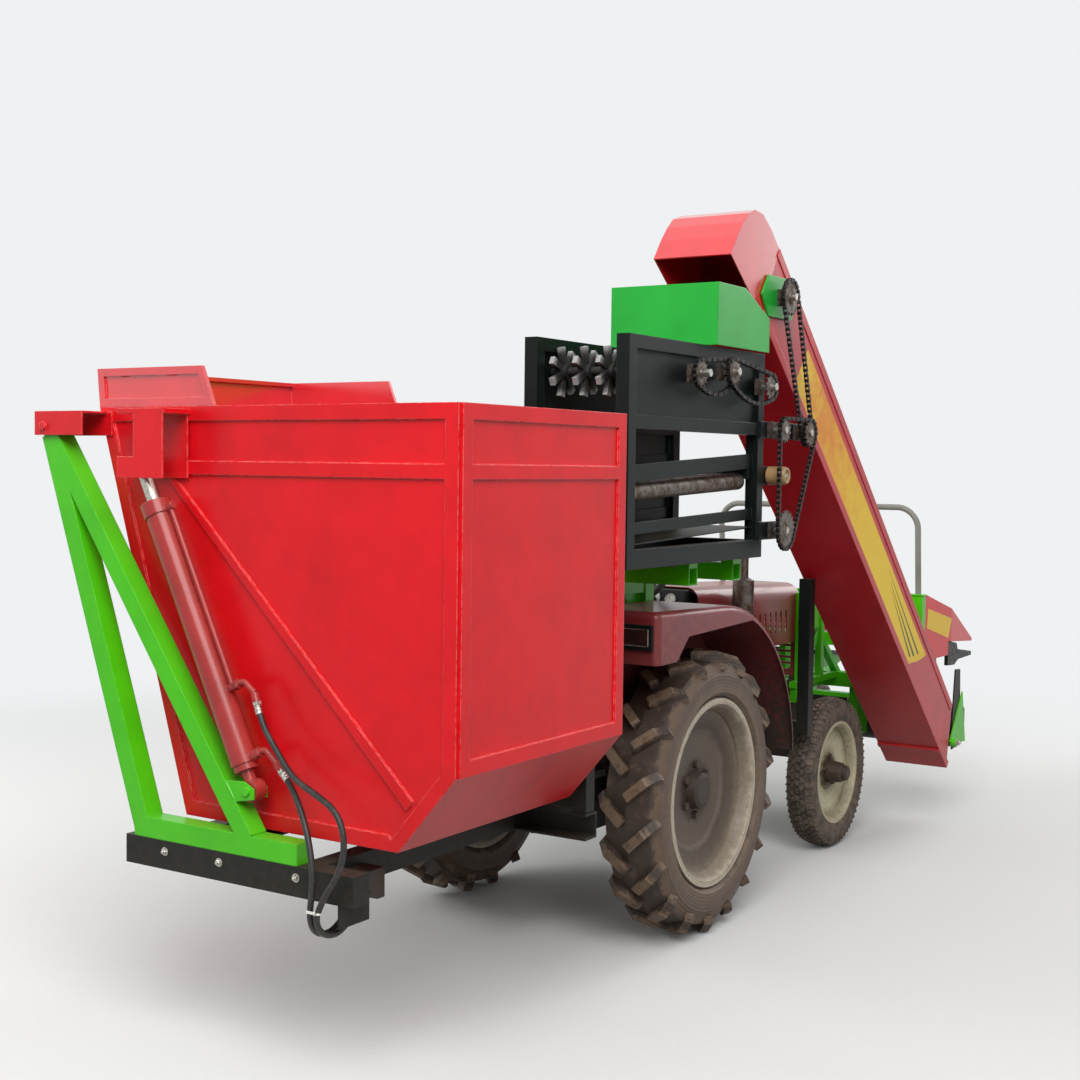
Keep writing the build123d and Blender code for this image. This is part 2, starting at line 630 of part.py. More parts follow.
def bin_end(inner_y, direction):
    """One end sheet with its frame of angle bars on the outside."""
    outer_y = inner_y + direction * SHEET
    proud_y = outer_y + direction * ANGLE_PROUD
    low_y, high_y = sorted((inner_y, outer_y))
    sheet = plate_across(bin_outline(), low_y, high_y)
    low_y, high_y = sorted((outer_y, proud_y))
    leg = ANGLE_LEG
    slope = 357.0 / (BIN_TOP - BIN_LOW)
    strips = [
        [(-597, BIN_TOP), (700, BIN_TOP), (700, BIN_TOP - leg), (-597 + slope * leg, BIN_TOP - leg)],
        [(-597 + slope * 155, 1638), (700, 1638), (700, 1600), (-597 + slope * 193, 1600)],
        [(700, BIN_TOP), (700 - leg, BIN_TOP), (700 - leg, 862), (700, 844)],
        [(-597, BIN_TOP), (-597 + leg, BIN_TOP), (-240 + leg, BIN_LOW), (-240, BIN_LOW)],
        [(-240, BIN_LOW), (520, BIN_LOW), (486, BIN_LOW + leg), (-230, BIN_LOW + leg)],
        [(520, BIN_LOW), (700, 844), (670, 870), (490, BIN_LOW + 24)],
        [(-330, 1600), (-300, 1600), (565, 770), (545, 745)],
    ]
    pieces = [plate_across(strip, low_y, high_y) for strip in strips]
    return joined([sheet, *pieces])


def bin_shell():
    """The folded sheet round the bin: right wall, right slope, floor and left wall."""
    outer = bin_outline()
    inner = [(700 - SHEET, BIN_TOP), (700 - SHEET, 846), (518, BIN_LOW + SHEET),
             (-237, BIN_LOW + SHEET), (-593, BIN_TOP)]
    sheet = plate_across(outer + inner, BIN_REAR + SHEET + ANGLE_PROUD, BIN_FRONT - SHEET - ANGLE_PROUD)
    leg = ANGLE_LEG
    y0 = BIN_REAR + SHEET + ANGLE_PROUD
    y1 = BIN_FRONT - SHEET - ANGLE_PROUD
    rails = [
        block(700, 700 + ANGLE_PROUD, y0, y1, BIN_TOP - leg, BIN_TOP),
        block(700, 700 + ANGLE_PROUD, y0, y1, 1600, 1638),
        block(700, 700 + ANGLE_PROUD, y0, y1, 844, 844 + leg),
        block(700, 700 + ANGLE_PROUD, y0, y0 + leg, 844, BIN_TOP),
        block(700, 700 + ANGLE_PROUD, y1 - leg, y1, 844, BIN_TOP),
    ]
    return joined([sheet, *rails])


def bin_lip():
    """The raised edge above the left side: two framed end pieces and the side between them."""
    rear = BIN_REAR + SHEET + ANGLE_PROUD
    front = BIN_FRONT - SHEET - ANGLE_PROUD
    outline = [(-608, BIN_LIP_TOP), (-184, BIN_LIP_TOP), (-138, BIN_TOP), (-597, BIN_TOP)]
    panel = [(-582, 1882), (-198, 1882), (-172, 1817), (-574, 1817)]
    pieces = []
    for y, d in ((rear, -1), (front, 1)):
        low_y, high_y = sorted((y, y + d * (SHEET + ANGLE_PROUD)))
        recess_low, recess_high = sorted((y + d * SHEET, y + d * 30))
        pieces.append(plate_across(outline, low_y, high_y) - plate_across(panel, recess_low, recess_high))
    side = plate_across([(-608, BIN_LIP_TOP), (-597, BIN_TOP), (-592, BIN_TOP), (-603, BIN_LIP_TOP)],
                        rear, front)
    roll = plate_across([(-608, BIN_LIP_TOP), (-590, BIN_LIP_TOP), (-589, 1892), (-607, 1892)], rear, front)
    return joined([*pieces, side, roll])


def bin_arms():
    """A channel arm at each end, from the bin's left top to the tipping pin."""
    arms = []
    for y in (STAND_REAR_Y, STAND_FRONT_Y):
        face_y = BIN_REAR if y == STAND_REAR_Y else BIN_FRONT
        far = y - 42 if y == STAND_REAR_Y else y + 42
        inner = face_y
        low_y, high_y = sorted((inner, far))
        top = block(LEFT_END, -560, low_y, high_y, PIVOT_Z + 38, PIVOT_Z + 44)
        far_low, far_high = sorted((far, far - 6 if far > y else far + 6))
        near_low, near_high = sorted((inner, inner - 6 if y < inner else inner + 6))
        flange_far = block(LEFT_END, -560, far_low, far_high, PIVOT_Z - 26, PIVOT_Z + 44)
        flange_near = block(LEFT_END, -540, near_low, near_high, PIVOT_Z - 26, PIVOT_Z + 44)
        pin = rod((PIVOT_X, low_y - 8, PIVOT_Z), (PIVOT_X, high_y + 8, PIVOT_Z), 12)
        x, z = CYLINDER_EYE
        box_top = block(x - 60, x + 125, low_y, high_y, z + 150, z + 165)
        bracket = [box_top]
        for near, plate_low, plate_high in ((0, far_low, far_high), (1, near_low, near_high)):
            bracket.append(block(x + 5, x + 120, plate_low, plate_high, z - 30, z + 165))
            bracket.append(block(x - 60, x + 10, plate_low, plate_high, z - 30, z + 30))
            edge = near_low if near else far_low
            stub_end = y + 24 if edge > y else y - 24
            start = edge if near else far
            bracket.append(rod((x, start, z), (x, stub_end, z), 12))
        arms.append(joined([top, flange_far, flange_near, pin]))
        arms.append(joined(bracket))
    return arms


def cylinder_axis():
    """Unit vector in (x, z) from the cylinder's foot to its eye, and the closed length."""
    dx = CYLINDER_EYE[0] - CYLINDER_FOOT[0]
    dz = CYLINDER_EYE[1] - CYLINDER_FOOT[1]
    length = math.hypot(dx, dz)
    return dx / length, dz / length, length


def along_cylinder(y, distance):
    """A point on a tipping cylinder's axis, measured from its foot pin."""
    ux, uz, _ = cylinder_axis()
    return (CYLINDER_FOOT[0] + ux * distance, y, CYLINDER_FOOT[1] + uz * distance)


def beside_cylinder(y, distance, out):
    """A point beside a tipping cylinder's axis, to its upper right."""
    ux, uz, _ = cylinder_axis()
    x, _, z = along_cylinder(y, distance)
    return (x + uz * out, y, z - ux * out)


# Distance along the barrel of its two ports: upper, lower.
PORTS = (280.0, 85.5)


def elbow(start, corner, route):
    """A swept hydraulic elbow with the crimped sleeve of the hose that follows the route."""
    end = Vector(*route[0])
    back = end - (Vector(*route[1]) - end).normalized() * 26
    path = FilletPolyline(start, corner, back, radius=14)
    pipe = sweep(Plane(origin=path @ 0, z_dir=path % 0) * Circle(8.5), path=path)
    return joined([pipe, rod(back, end, 11.5)])


def tip_barrel(y):
    """The barrel with its foot eye, end caps, the pipe along it and its two ports."""
    x, z = CYLINDER_FOOT
    tube = ring(along_cylinder(y, 74), along_cylinder(y, 850), BARREL_R, ROD_R + 1)
    base = rod(along_cylinder(y, 56), along_cylinder(y, 86), BARREL_R - 4)
    eye = ring((x, y - 20, z), (x, y + 20, z), 30, 12.5)
    neck = rod(along_cylinder(y, 20), along_cylinder(y, 60), 17)
    gland = ring(along_cylinder(y, 815), along_cylinder(y, 856), BARREL_R + 4, ROD_R + 1)
    pieces = [tube, base, eye, neck, gland]
    upper, lower = PORTS
    for distance in (upper, 822.0):
        pieces.append(rod(beside_cylinder(y, distance, BARREL_R - 6), beside_cylinder(y, distance, 63), 12))
    pieces.append(rod(beside_cylinder(y, upper, 50), beside_cylinder(y, 822, 50), 8))
    pieces.append(rod(beside_cylinder(y, lower, 30), beside_cylinder(y, lower, 56), 15))
    for distance, nut in ((upper, 63), (lower, 56)):
        pieces.append(hexagon(beside_cylinder(y, distance, nut), beside_cylinder(y, distance, nut + 14), 27))
    if y == STAND_REAR_Y:
        for distance, nut, route in ((upper, 75, HOSE_UPPER), (lower, 68, HOSE_LOWER)):
            start = Vector(*beside_cylinder(y, distance, nut))
            pieces.append(elbow(start, Vector(*beside_cylinder(y, distance, nut + 20)), route))
    hole = rod((x, y - 30, z), (x, y + 30, z), 12.5)
    return joined(pieces) - hole - rod(along_cylinder(y, 90), along_cylinder(y, 870), ROD_R + 1)


def hose_block():
    """The connector block on the base frame's right beam, with a nut and sleeve for each hose."""
    block_body = plate_along([(-1676, 507), (-1632, 463), (-1600, 463), (-1600, 545), (-1676, 545)], 300, 370)
    pieces = [block_body]
    rise = Vector(0, 1, 1).normalized()
    for route in (HOSE_UPPER, HOSE_LOWER):
        end = Vector(*route[-1])
        pieces.append(rod(end, end + rise * 30, 11.5))
        pieces.append(hexagon(end + rise * 28, end + rise * 44, 24))
    return joined(pieces)


def tip_rod(y):
    """The rod with its eye."""
    _, _, length = cylinder_axis()
    x, z = CYLINDER_EYE
    shaft = rod(along_cylinder(y, 110), along_cylinder(y, length - 20), ROD_R)
    eye = ring((x, y - 20, z), (x, y + 20, z), 30, 15)
    hole = rod((x, y - 30, z), (x, y + 30, z), 15)
    return joined([shaft, eye]) - hole


# Sprockets on the machine's right side: shaft y, z, pitch radius.
SPROCKETS = {
    "head": (171.0, 2236.0, 60.0),
    "bracket_front": (335.0, 1768.0, 46.0),
    "bracket_rear": (112.0, 1772.0, 40.0),
    "husker_drive": (134.0, 1423.0, 66.0),
    "rear": (-483.0, 1935.0, 42.0),
    "middle": (-272.0, 1951.0, 42.0),
    "front": (20.0, 1916.0, 42.0),
}

# Chains: the sprockets that each goes round, counter-clockwise, its left side, and its sag in degrees.
CHAINS = [
    (("bracket_front", "head"), 744.0, 0.0),
    (("husker_drive", "bracket_front", "bracket_rear"), 758.0, 0.0),
    (("rear", "middle"), 730.0, 30.0),
    (("middle", "front"), 744.0, 27.0),
]


# Husker.
def husker_subframe():
    """Green cross tubes and black uprights on the axle trumpets, under the husker's front end."""
    tubes = []
    for y in (-355, -26):
        tubes.append(block(-330, 640, y, y + 60, 1250, 1310) - block(-340, 650, y + 4, y + 56, 1254, 1306))
    uprights = [block(s * 240, s * 300, -26, 34, 600, 1250) for s in (-1, 1)]
    feet = [block(s * 236, s * 304, -60, 90, 580, 600) for s in (-1, 1)]
    risers = [block(x, x + 45, y, y + 60, 1310, 1330) for x in (HUSKER_LEFT, 595) for y in (-355, -26)]
    link = [block(s * 245, s * 295, -355, 30, 1190, 1250) for s in (-1, 1)]
    gussets = [plate_along([(-26, 1190), (-26, 1040), (-140, 1190)], s * 266, s * 274) for s in (-1, 1)]
    return joined([*tubes, *uprights, *feet, *risers, *link, *gussets])


def husker_frame():
    """Black posts, rails, recessed side walls and cross members round the husking bed."""
    left, right = HUSKER_LEFT, HUSKER_RIGHT
    rear, front = HUSKER_REAR, HUSKER_FRONT
    leg = 45.0
    posts = [block(x, x + leg, y, y + leg, 1330, HUSKER_TOP)
             for x in (left, right - leg) for y in (rear, front - leg)]
    sides = [block(x, x + 4, rear, front, 1752, HUSKER_TOP) for x in (left + 14, right - 18)]
    rails = [block(x, x + leg, rear, front, low, high) for x in (left, right - leg)
             for low, high in ((1990, HUSKER_TOP), (1752, 1794), (1330, 1390))]
    bed_beams = [plate_along([(rear, 1588), (front, 1640), (front, 1690), (rear, 1640)], x, x + 8)
                 for x in (left + 20, right - 28)]
    low_beams = [plate_along([(rear, 1430), (front, 1462), (front, 1500), (rear, 1466)], x, x + 8)
                 for x in (left + 20, right - 28)]
    ties = [block(left, right, y, y + leg, 1330, 1390) for y in (rear, front - leg)]
    cross = [block(left + 20, right - 20, y, y + 20, 1600, 1640) for y in (rear + 40, front - 80)]
    tray = plate_along([(rear + 20, 1398), (front - 20, 1432), (front - 20, 1436), (rear + 20, 1402)],
                       left + 20, right - 20)
    rear_wall = block(left + 14, right - 14, rear + 20, rear + 24, 1752, 1800)
    upper_arm = block(right - 4, right + 8, front - 40, 385, 1742, 1800)
    lower_arm = block(right - 4, right + 8, front - 40, 190, 1390, 1452)
    roller_arm = block(right - 12, right - 2, front - 10, 165, 1580, 1645)
    return joined([*posts, *sides, *rails, *bed_beams, *low_beams, *ties, *cross, tray, rear_wall, upper_arm,
                   lower_arm, roller_arm])


def husking_rollers():
    """Husking rollers side by side, sloping down to the rear between the two cross members."""
    count = 5
    pitch = 62.0
    return [rod((HUSKER_LEFT + 62 + n * pitch, HUSKER_REAR + 66, 1560),
                (HUSKER_LEFT + 62 + n * pitch, HUSKER_FRONT - 82, 1592), 29) for n in range(count)]


def star_wheel(x, y, z):
    """A flat rubber star of seven paddles, square to the shaft."""
    arms = 7
    points = []
    for n in range(arms):
        for half_width, r in ((-9, 26), (-12, 78), (12, 78), (9, 26)):
            angle = 2 * math.pi * n / arms + math.atan2(half_width, r)
            points.append((y + math.hypot(half_width, r) * math.cos(angle),
                           z + math.hypot(half_width, r) * math.sin(angle)))
    return plate_along(points, x - 8, x + 8)


def star_shaft():
    """A cross shaft that carries four rubber stars."""
    y, z = -748.0, 1930.0
    shaft = rod((HUSKER_LEFT + 20, y, z), (HUSKER_RIGHT - 20, y, z), 14)
    stars = [star_wheel(HUSKER_LEFT + 62 + n * 83, y, z) for n in range(4)]
    hubs = [rod((HUSKER_LEFT + 40 + n * 83, y, z), (HUSKER_LEFT + 84 + n * 83, y, z), 24) for n in range(4)]
    return joined([shaft, *stars, *hubs])


def hopper():
    """The green sheet hood between the elevator's mouth and the husker, and the head bearing's plate."""
    left, right = HUSKER_LEFT, 728.0
    side = [(-352, 2034), (-352, 2236), (-150, 2236), (46, 2150), (46, 2034)]
    rear_sheet = block(left, right, -352, -348, 2034, 2236)
    rear_edge = block(left, right, -352, -330, 2232, 2236)
    sides = [plate_along(side, x, x + 4) for x in (left, right - 4)]
    y, z, _ = SPROCKETS["head"]
    plate = plate_along([(y - 150, z), (y - 96, z + 70), (y + 96, z + 70), (y + 150, z), (y + 96, z - 72),
                         (y - 96, z - 72)], ELEVATOR_RIGHT + 3, ELEVATOR_RIGHT + 11)
    return [joined([rear_sheet, rear_edge, *sides]), plate]


# Elevator.
HOOD_TOP = [(-209, 2344), (-160, 2411), (-115, 2461), (-72, 2497), (-20, 2515), (40, 2508), (107, 2467),
            (179, 2406)]
HOOD_HEEL = (35, 2160)
FOOT_LOW = (2172, 258)
FOOT_HIGH = (2234, 546)
CASING_SIDE = [HOOD_TOP[-1], FOOT_HIGH, FOOT_LOW, HOOD_HEEL]


def elevator_casing():
    """The elevator's box: two sides, a top sheet and a bottom sheet, with strips along its right edges."""
    wall = 4.0
    sides = [plate_along(CASING_SIDE, x, x + wall) for x in (ELEVATOR_LEFT, ELEVATOR_RIGHT - wall)]
    (y0, z0), (y1, z1) = HOOD_TOP[-1], FOOT_HIGH
    top = plate_along([(y0, z0), (y1, z1), (y1 - 3, z1 - 3), (y0 - 3, z0 - 3)], ELEVATOR_LEFT, ELEVATOR_RIGHT)
    (y2, z2), (y3, z3) = HOOD_HEEL, FOOT_LOW
    low = plate_along([(y2, z2), (y3, z3), (y3 + 3, z3 + 3), (y2 + 3, z2 + 3)], ELEVATOR_LEFT, ELEVATOR_RIGHT)
    proud = 3.0
    strip = 24.0
    right = ELEVATOR_RIGHT
    strips = [plate_along([(y0, z0), (y1, z1), (y1 - strip, z1 - strip), (y0 - strip, z0 - strip)], right,
                          right + proud),
              plate_along([(y2, z2), (y3, z3), (y3 + strip, z3 + strip), (y2 + strip, z2 + strip)], right,
                          right + proud)]
    band = bar((ELEVATOR_LEFT, 2060, 352), (right, 2060, 352), 26, 10, (0, 0.665, 0.747))
    return joined([*sides, top, low, *strips, band])


def elevator_hood():
    """The rounded head, open to the rear and down into the hopper."""
    wall = 4.0
    side = HOOD_TOP + [HOOD_HEEL]
    sides = [plate_along(side, x, x + wall) for x in (ELEVATOR_LEFT, ELEVATOR_RIGHT - wall)]
    inside = [(y + (3 if y < 0 else 0), z - 4) for y, z in reversed(HOOD_TOP)]
    back = plate_along(HOOD_TOP + inside, ELEVATOR_LEFT, ELEVATOR_RIGHT)
    return joined([*sides, back]) - elevator_casing()


def chain_drive():
    """Toothed sprockets on their shafts with the chains round them, and the idler roller."""
    teeth_pitch = 25.4
    wheel_planes = {name: [] for name in SPROCKETS}
    loops = []
    for names, left, sag in CHAINS:
        loops.append(chain_loop([SPROCKETS[name] for name in names], left, left + 12, math.radians(sag)))
        for name in names:
            wheel_planes[name].append(left)
    groups = []
    for name, (y, z, radius) in SPROCKETS.items():
        base = {"head": ELEVATOR_RIGHT + 11, "bracket_front": HUSKER_RIGHT + 8, "bracket_rear": HUSKER_RIGHT + 8,
                "husker_drive": HUSKER_RIGHT + 8}.get(name, HUSKER_RIGHT)
        groups.append(rod((base, y, z), (RIGHT_END, y, z), 15))
        groups.append(rod((base, y, z), (base + 18, y, z), 38))
        for left in wheel_planes[name]:
            teeth = round(2 * math.pi * radius / teeth_pitch)
            groups.append(sprocket(left + 2, left + 10, y, z, radius, teeth))
            groups.append(rod((left - 8, y, z), (left + 2, y, z), 26))
    idler_y, idler_z = 125.0, 1613.0
    idler = ring((HUSKER_RIGHT - 2, idler_y, idler_z), (RIGHT_END - 2, idler_y, idler_z), 32, 12)
    return [joined([*loops, *groups]), idler]


def front_carrier():
    """Green beams from the tractor's front frame to the header's pivot, with a frame on each side."""
    beams = [block(s * 95, s * 127, 1310, 2190, 612, 680) for s in (-1, 1)]
    nose = block(-300, 395, 2040, 2100, 612, 680)
    cheeks = [block(s * 262, s * 300, 2060, 2200, 380, 680) for s in (-1, 1)]
    mast = [block(s * 32, s * 62, 1760, 1820, 675, 885) for s in (-1, 1)]
    saddle = block(-200, 200, 1560, 1620, 590, 615)
    mast_tie = block(-200, 200, 1750, 1830, 640, 680)
    side_frames = []
    for s in (-1, 1):
        x0, x1 = s * 176, s * 206
        side_frames.append(block(x0, x1, 1548, 2050, 655, 685))
        side_frames.append(block(x0, x1, 1560, 1600, 600, 660))
        side_frames.append(block(x0, x1, 1606, 1640, 680, 1081))
        side_frames.append(block(x0, x1, 1838, 1872, 680, 1081))
        side_frames.append(block(s * 196, s * 200, 1606, 1872, 905, 1081))
        side_frames.append(bar((s * 191, 1650, 690), (s * 191, 1860, 905), 30, 8, (1, 0, 0)))
        side_frames.append(bar((s * 191, 1872, 845), (s * 191, 2110, 640), 30, 30, (1, 0, 0)))
    top_tie = block(-200, 200, 1845, 1872, 1050, 1081)
    y, z = HEADER_PIVOT
    pins = [rod((s * 215, y, z), (s * 300, y, z), 14) for s in (-1, 1)]
    y, z = LIFT_FOOT
    foot_pin = rod((-62, y, z), (62, y, z), 10)
    return joined([*beams, nose, *cheeks, *mast, saddle, mast_tie, *side_frames, top_tie, *pins, foot_pin])


def elevator_post():
    """A black post from the front frame to the elevator's underside."""
    foot = block(168.5, 465, 1080, 1130, 540, 590)
    post = block(415, 465, 1080, 1130, 545, 1184)
    return joined([foot, post])


# Header.
def header_frame():
    """Green beams, posts, end plates, pivot cheeks and the arms of the two rows."""
    rear = HEADER_REAR
    beam_front = 2445.0
    rear_beam = block(-HEADER_HALF, HEADER_HALF, rear, rear + 50, 780, 840)
    posts = [block(-HEADER_HALF, -485, rear, rear + 50, 530, 1045),
             block(-27, 27, rear + 5, rear + 50, 780, 1045),
             block(485, HEADER_HALF, rear, rear + 50, 640, 1045)]
    caps = [block(s * 480, s * 545, rear - 5, rear + 50, 1045, 1051) for s in (-1, 1)]
    left_end = plate_along([(rear, 330), (rear, 840), (rear + 50, 840), (beam_front + 50, 560),
                            (beam_front + 50, 400), (2400, 330)], -HEADER_HALF - 6, -HEADER_HALF)
    right_plate = plate_along([(2216, 372), (2443, 345), (2388, 590)], TROUGH_RIGHT + 6, TROUGH_RIGHT + 12)
    boss = rod((TROUGH_RIGHT + 6, 2252, 366), (TROUGH_RIGHT + 32, 2252, 366), 20)
    auger_y, auger_z = AUGER_AXIS
    stub = rod((-HEADER_HALF, auger_y, auger_z), (-HEADER_HALF + 9.5, auger_y, auger_z), 30)
    front_beam = block(-HEADER_HALF - 6, 600, beam_front, beam_front + 50, 470, 520)
    y, z = HEADER_PIVOT
    cheek = [(y - 40, z - 40), (2244, z - 40), (2244, 720), (rear, 780), (rear, 840), (2204, 840), (2204, z + 90),
             (y - 40, z + 40)]
    cheeks = [plate_along(cheek, s * 222, s * 255) for s in (-1, 1)]
    lift_ears = [block(s * 34, s * 44, 2190, rear + 10, 800, 900) for s in (-1, 1)]
    pieces = [rear_beam, *posts, *caps, left_end, right_plate, boss, stub, front_beam, *cheeks, *lift_ears]
    for row in (-ROW_HALF, ROW_HALF):
        pieces.append(block(row - 80, row + 80, beam_front + 45, 2560, 470, 600))
        for s in (-1, 1):
            x0, x1 = sorted((row + s * 85, row + s * 125))
            pieces.append(plate_along([(beam_front + 45, 480), (beam_front + 45, 700), (2945, 650), (2945, 628),
                                       (2620, 560), (2560, 480)], x0, x1))
    return joined(pieces) - rod((-320, y, z), (320, y, z), 15)


def header_trough():
    """The half-round trough of the cross auger, its raised edges and its right end sheet."""
    y, z = AUGER_AXIS
    outer = 100.0
    left = -HEADER_HALF
    half = block(left, TROUGH_RIGHT, y - 160, y + 160, z - 160, z)
    shell = ring((left, y, z), (TROUGH_RIGHT, y, z), outer, outer - 4) & half
    walls = [block(left, TROUGH_RIGHT, y - outer, y - outer + 4, z - 1, z + 40),
             block(left, TROUGH_RIGHT, y + outer - 4, y + outer, z - 1, z + 70)]
    end_sheet = plate_along([(2262, 330), (2262, 470), (2292, 705), (2362, 700), (2372, 551), (2443, 500),
                             (2443, 400), (2400, 340)], TROUGH_RIGHT, TROUGH_RIGHT + 6)
    return joined([shell, *walls, end_sheet])


def cross_auger():
    """The cross auger: a tube with one helical flight that feeds to the right."""
    y, z = AUGER_AXIS
    left = -HEADER_HALF + 10
    flight_end = 400.0
    tube_r = 35.0
    flight_r = 84.0
    pitch = 190.0
    height = flight_end - left - 20
    tube = rod((left, y, z), (TROUGH_RIGHT - 4, y, z), tube_r)
    helix = Helix(pitch=pitch, height=height, radius=(tube_r + flight_r) / 2 - 2)
    blade = Plane(origin=helix @ 0, x_dir=(1, 0, 0), z_dir=helix % 0) * Rectangle(flight_r - tube_r + 4, 5)
    flight = Pos(left + 10, y, z) * Rot(0, 90, 0) * sweep(blade, path=helix, is_frenet=True)
    paddles = [Pos(550, y, z) * Rot(90 * n, 0, 0) * Pos(0, 0, 58) * Box(230, 5, 52) for n in range(4)]
    return joined([tube, flight, *paddles])


def divider(x, side):
    """A red hood between rows: a long box that narrows to a point, with a skirt on its outer side."""
    half = 50.0
    sections = [(HEADER_REAR + 50, half, 850, 1050), (2700, half, 790, 955), (FRONT_END, 6, 749, 763)]
    faces = []
    for y, reach, low, high in sections:
        plane = Plane(origin=(x, y, (low + high) / 2), x_dir=(1, 0, 0), z_dir=(0, -1, 0))
        faces.append(plane * Rectangle(2 * reach, high - low))
    hood = loft(faces, ruled=True)
    if not side:
        return hood
    outline = [(2330, 730), (2330, 900), (2656, 850), (2656, 726)]
    x0, x1 = sorted((x + side * half, x + side * (half - 4)))
    return joined([hood, plate_along(outline, x0, x1)])


def dividers():
    """The three hoods that part the rows."""
    return [divider(x, side) for x, side in ((-490.0, -1), (0.0, 0), (490.0, 1))]


def snapping_rolls():
    """Two fluted rolls under each row, falling to a point at the front."""
    rolls = []
    for row in (-ROW_HALF, ROW_HALF):
        for s in (-1, 1):
            start = Vector(row + s * 42, 2545, 564)
            end = Vector(row + s * 42, 2880, 476)
            axis = end - start
            plane = Plane(origin=start, x_dir=(1, 0, 0), z_dir=axis)
            points = []
            for n in range(6):
                for turn, r in ((0, 34), (18, 34), (26, 26), (52, 26)):
                    angle = math.radians(60 * n + turn)
                    points.append((r * math.cos(angle), r * math.sin(angle)))
            core = extrude(plane * make_face(Polyline(*points, close=True)), amount=axis.length)
            tip = Plane(origin=end + axis.normalized() * 40, z_dir=axis) * Cone(26, 8, 80)
            rolls.append(joined([core, tip]) - block(row - 100, row + 100, 2500, 2560, 450, 650))
    return rolls


def gathering_chains():
    """A finger chain on each side of each row, and a black guide under each outer hood."""
    start = Vector(0, 2530, 695.65)
    lean = Vector(0, 455, -50).normalized()
    span = 380.0
    inside = 34.0
    outside = 46.0
    pieces = []
    for row in (-ROW_HALF, ROW_HALF):
        for s in (-1, 1):
            origin = Vector(row + s * 105, start.Y, start.Z) + lean * (span / 2)
            up = Vector(0, 50, 455).normalized()
            plane = Plane(origin=origin, x_dir=lean, z_dir=up)
            guide = extrude(SlotCenterToCenter(span, 2 * inside + 8), amount=6)
            band = SlotCenterToCenter(span, 2 * outside) - SlotCenterToCenter(span, 2 * inside)
            chain = Pos(0, 0, 4) * extrude(band, amount=16)
            wheels = [Pos(e * span / 2, 0, 11) * Cylinder(24, 12) for e in (-1, 1)]
            reach = s * (outside + 14)
            fingers = [Pos(-span / 2 + 30 + n * 64, reach, 12) * Box(14, 34, 14) for n in range(6)]
            pieces.append(plane * joined([guide, chain, *wheels, *fingers]))
    outline = [(2656, 790), (2700, 790), (2790, 775), (2810, 742), (3030, 712), (3030, 692), (2820, 690),
               (2760, 668), (2656, 674)]
    for s in (-1, 1):
        x0, x1 = sorted((s * 522, s * 540))
        pieces.append(plate_along(outline, x0, x1))
    return pieces


def guard_hoop():
    """The bent tube that stands on the header's posts."""
    foot_y = HEADER_REAR + 25
    path = FilletPolyline((-512, foot_y, 1045), (-512, 2240, 1462), (512, 2240, 1462), (512, foot_y, 1045),
                          radius=100)
    tube = sweep(Plane(origin=path @ 0, z_dir=path % 0) * Circle(14), path=path)
    return tube - block(-540, 540, foot_y - 30, foot_y + 30, 1030, 1051)


def lift_barrel():
    """The barrel of the header's lift cylinder."""
    y, z = LIFT_FOOT
    tube = ring((0, y + 40, z), (0, y + 270, z), 28, 15.5)
    base = rod((0, y + 15, z), (0, y + 45, z), 26)
    eye = ring((-14, y, z), (14, y, z), 24, 10.5)
    hole = rod((-20, y, z), (20, y, z), 10.5)
    return joined([tube, base, eye]) - hole


def lift_rod():
    """The rod of the header's lift cylinder."""
    y, z = LIFT_EYE
    shaft = rod((0, LIFT_FOOT[0] + 200, z), (0, y - 15, z), 15)
    eye = ring((-14, y, z), (14, y, z), 24, 12)
    hole = rod((-20, y, z), (20, y, z), 12)
    return joined([shaft, eye]) - hole


write_wheels()
save("tractor_chassis", chassis())
save("engine_block", engine())
save("radiator", radiator())
save("front_frame", front_frame())
save("front_axle_beam", front_axle())
save("knuckle_right", knuckle(1))
save("knuckle_left", knuckle(-1))
save("tie_rod", tie_rod())
save("bonnet", bonnet())
save("grille", grille())
save("fenders", fender(1), fender(-1))
save("tail_lamps", *tail_lamps())
save("footplates", *footplates())
save("seat", *seat())
save("seat_post", seat_post())
save("steering_column", steering_column())
save("steering_wheel", steering_wheel())
save("exhaust", exhaust())
save("base_frame", base_frame())
save("tipping_stands", stand(STAND_REAR_Y), stand(STAND_FRONT_Y))
save("rear_columns", rear_columns())
save("bin_end_rear", bin_end(BIN_REAR + SHEET + ANGLE_PROUD, -1))
save("bin_end_front", bin_end(BIN_FRONT - SHEET - ANGLE_PROUD, 1))
save("bin_shell", bin_shell())
save("bin_lip", bin_lip())
save("bin_arms", *bin_arms())
for end, y in (("rear", STAND_REAR_Y), ("front", STAND_FRONT_Y)):
    save(f"tip_barrel_{end}", tip_barrel(y))
    save(f"tip_rod_{end}", tip_rod(y))
save("husker_subframe", husker_subframe())
save("husker_frame", husker_frame())
save("husking_rollers", *husking_rollers())
save("star_shaft", star_shaft())
save("hopper", *hopper())
save("elevator_casing", elevator_casing())
save("elevator_hood", elevator_hood())
save("chain_drive", *chain_drive())
save("front_carrier", front_carrier())
save("elevator_post", elevator_post())
save("header_frame", header_frame())
save("header_trough", header_trough())
save("cross_auger", cross_auger())
save("dividers", *dividers())
save("snapping_rolls", *snapping_rolls())
save("gathering_chains", *gathering_chains())
save("guard_hoop", guard_hoop())
save("lift_barrel", lift_barrel())
save("lift_rod", lift_rod())
save("hose_block", hose_block())
save("tip_hose_upper", cord_tube(HOSE_UPPER, HOSE_D, "upper hose"))
save("tip_hose_lower", cord_tube(HOSE_LOWER, HOSE_D, "lower hose"))
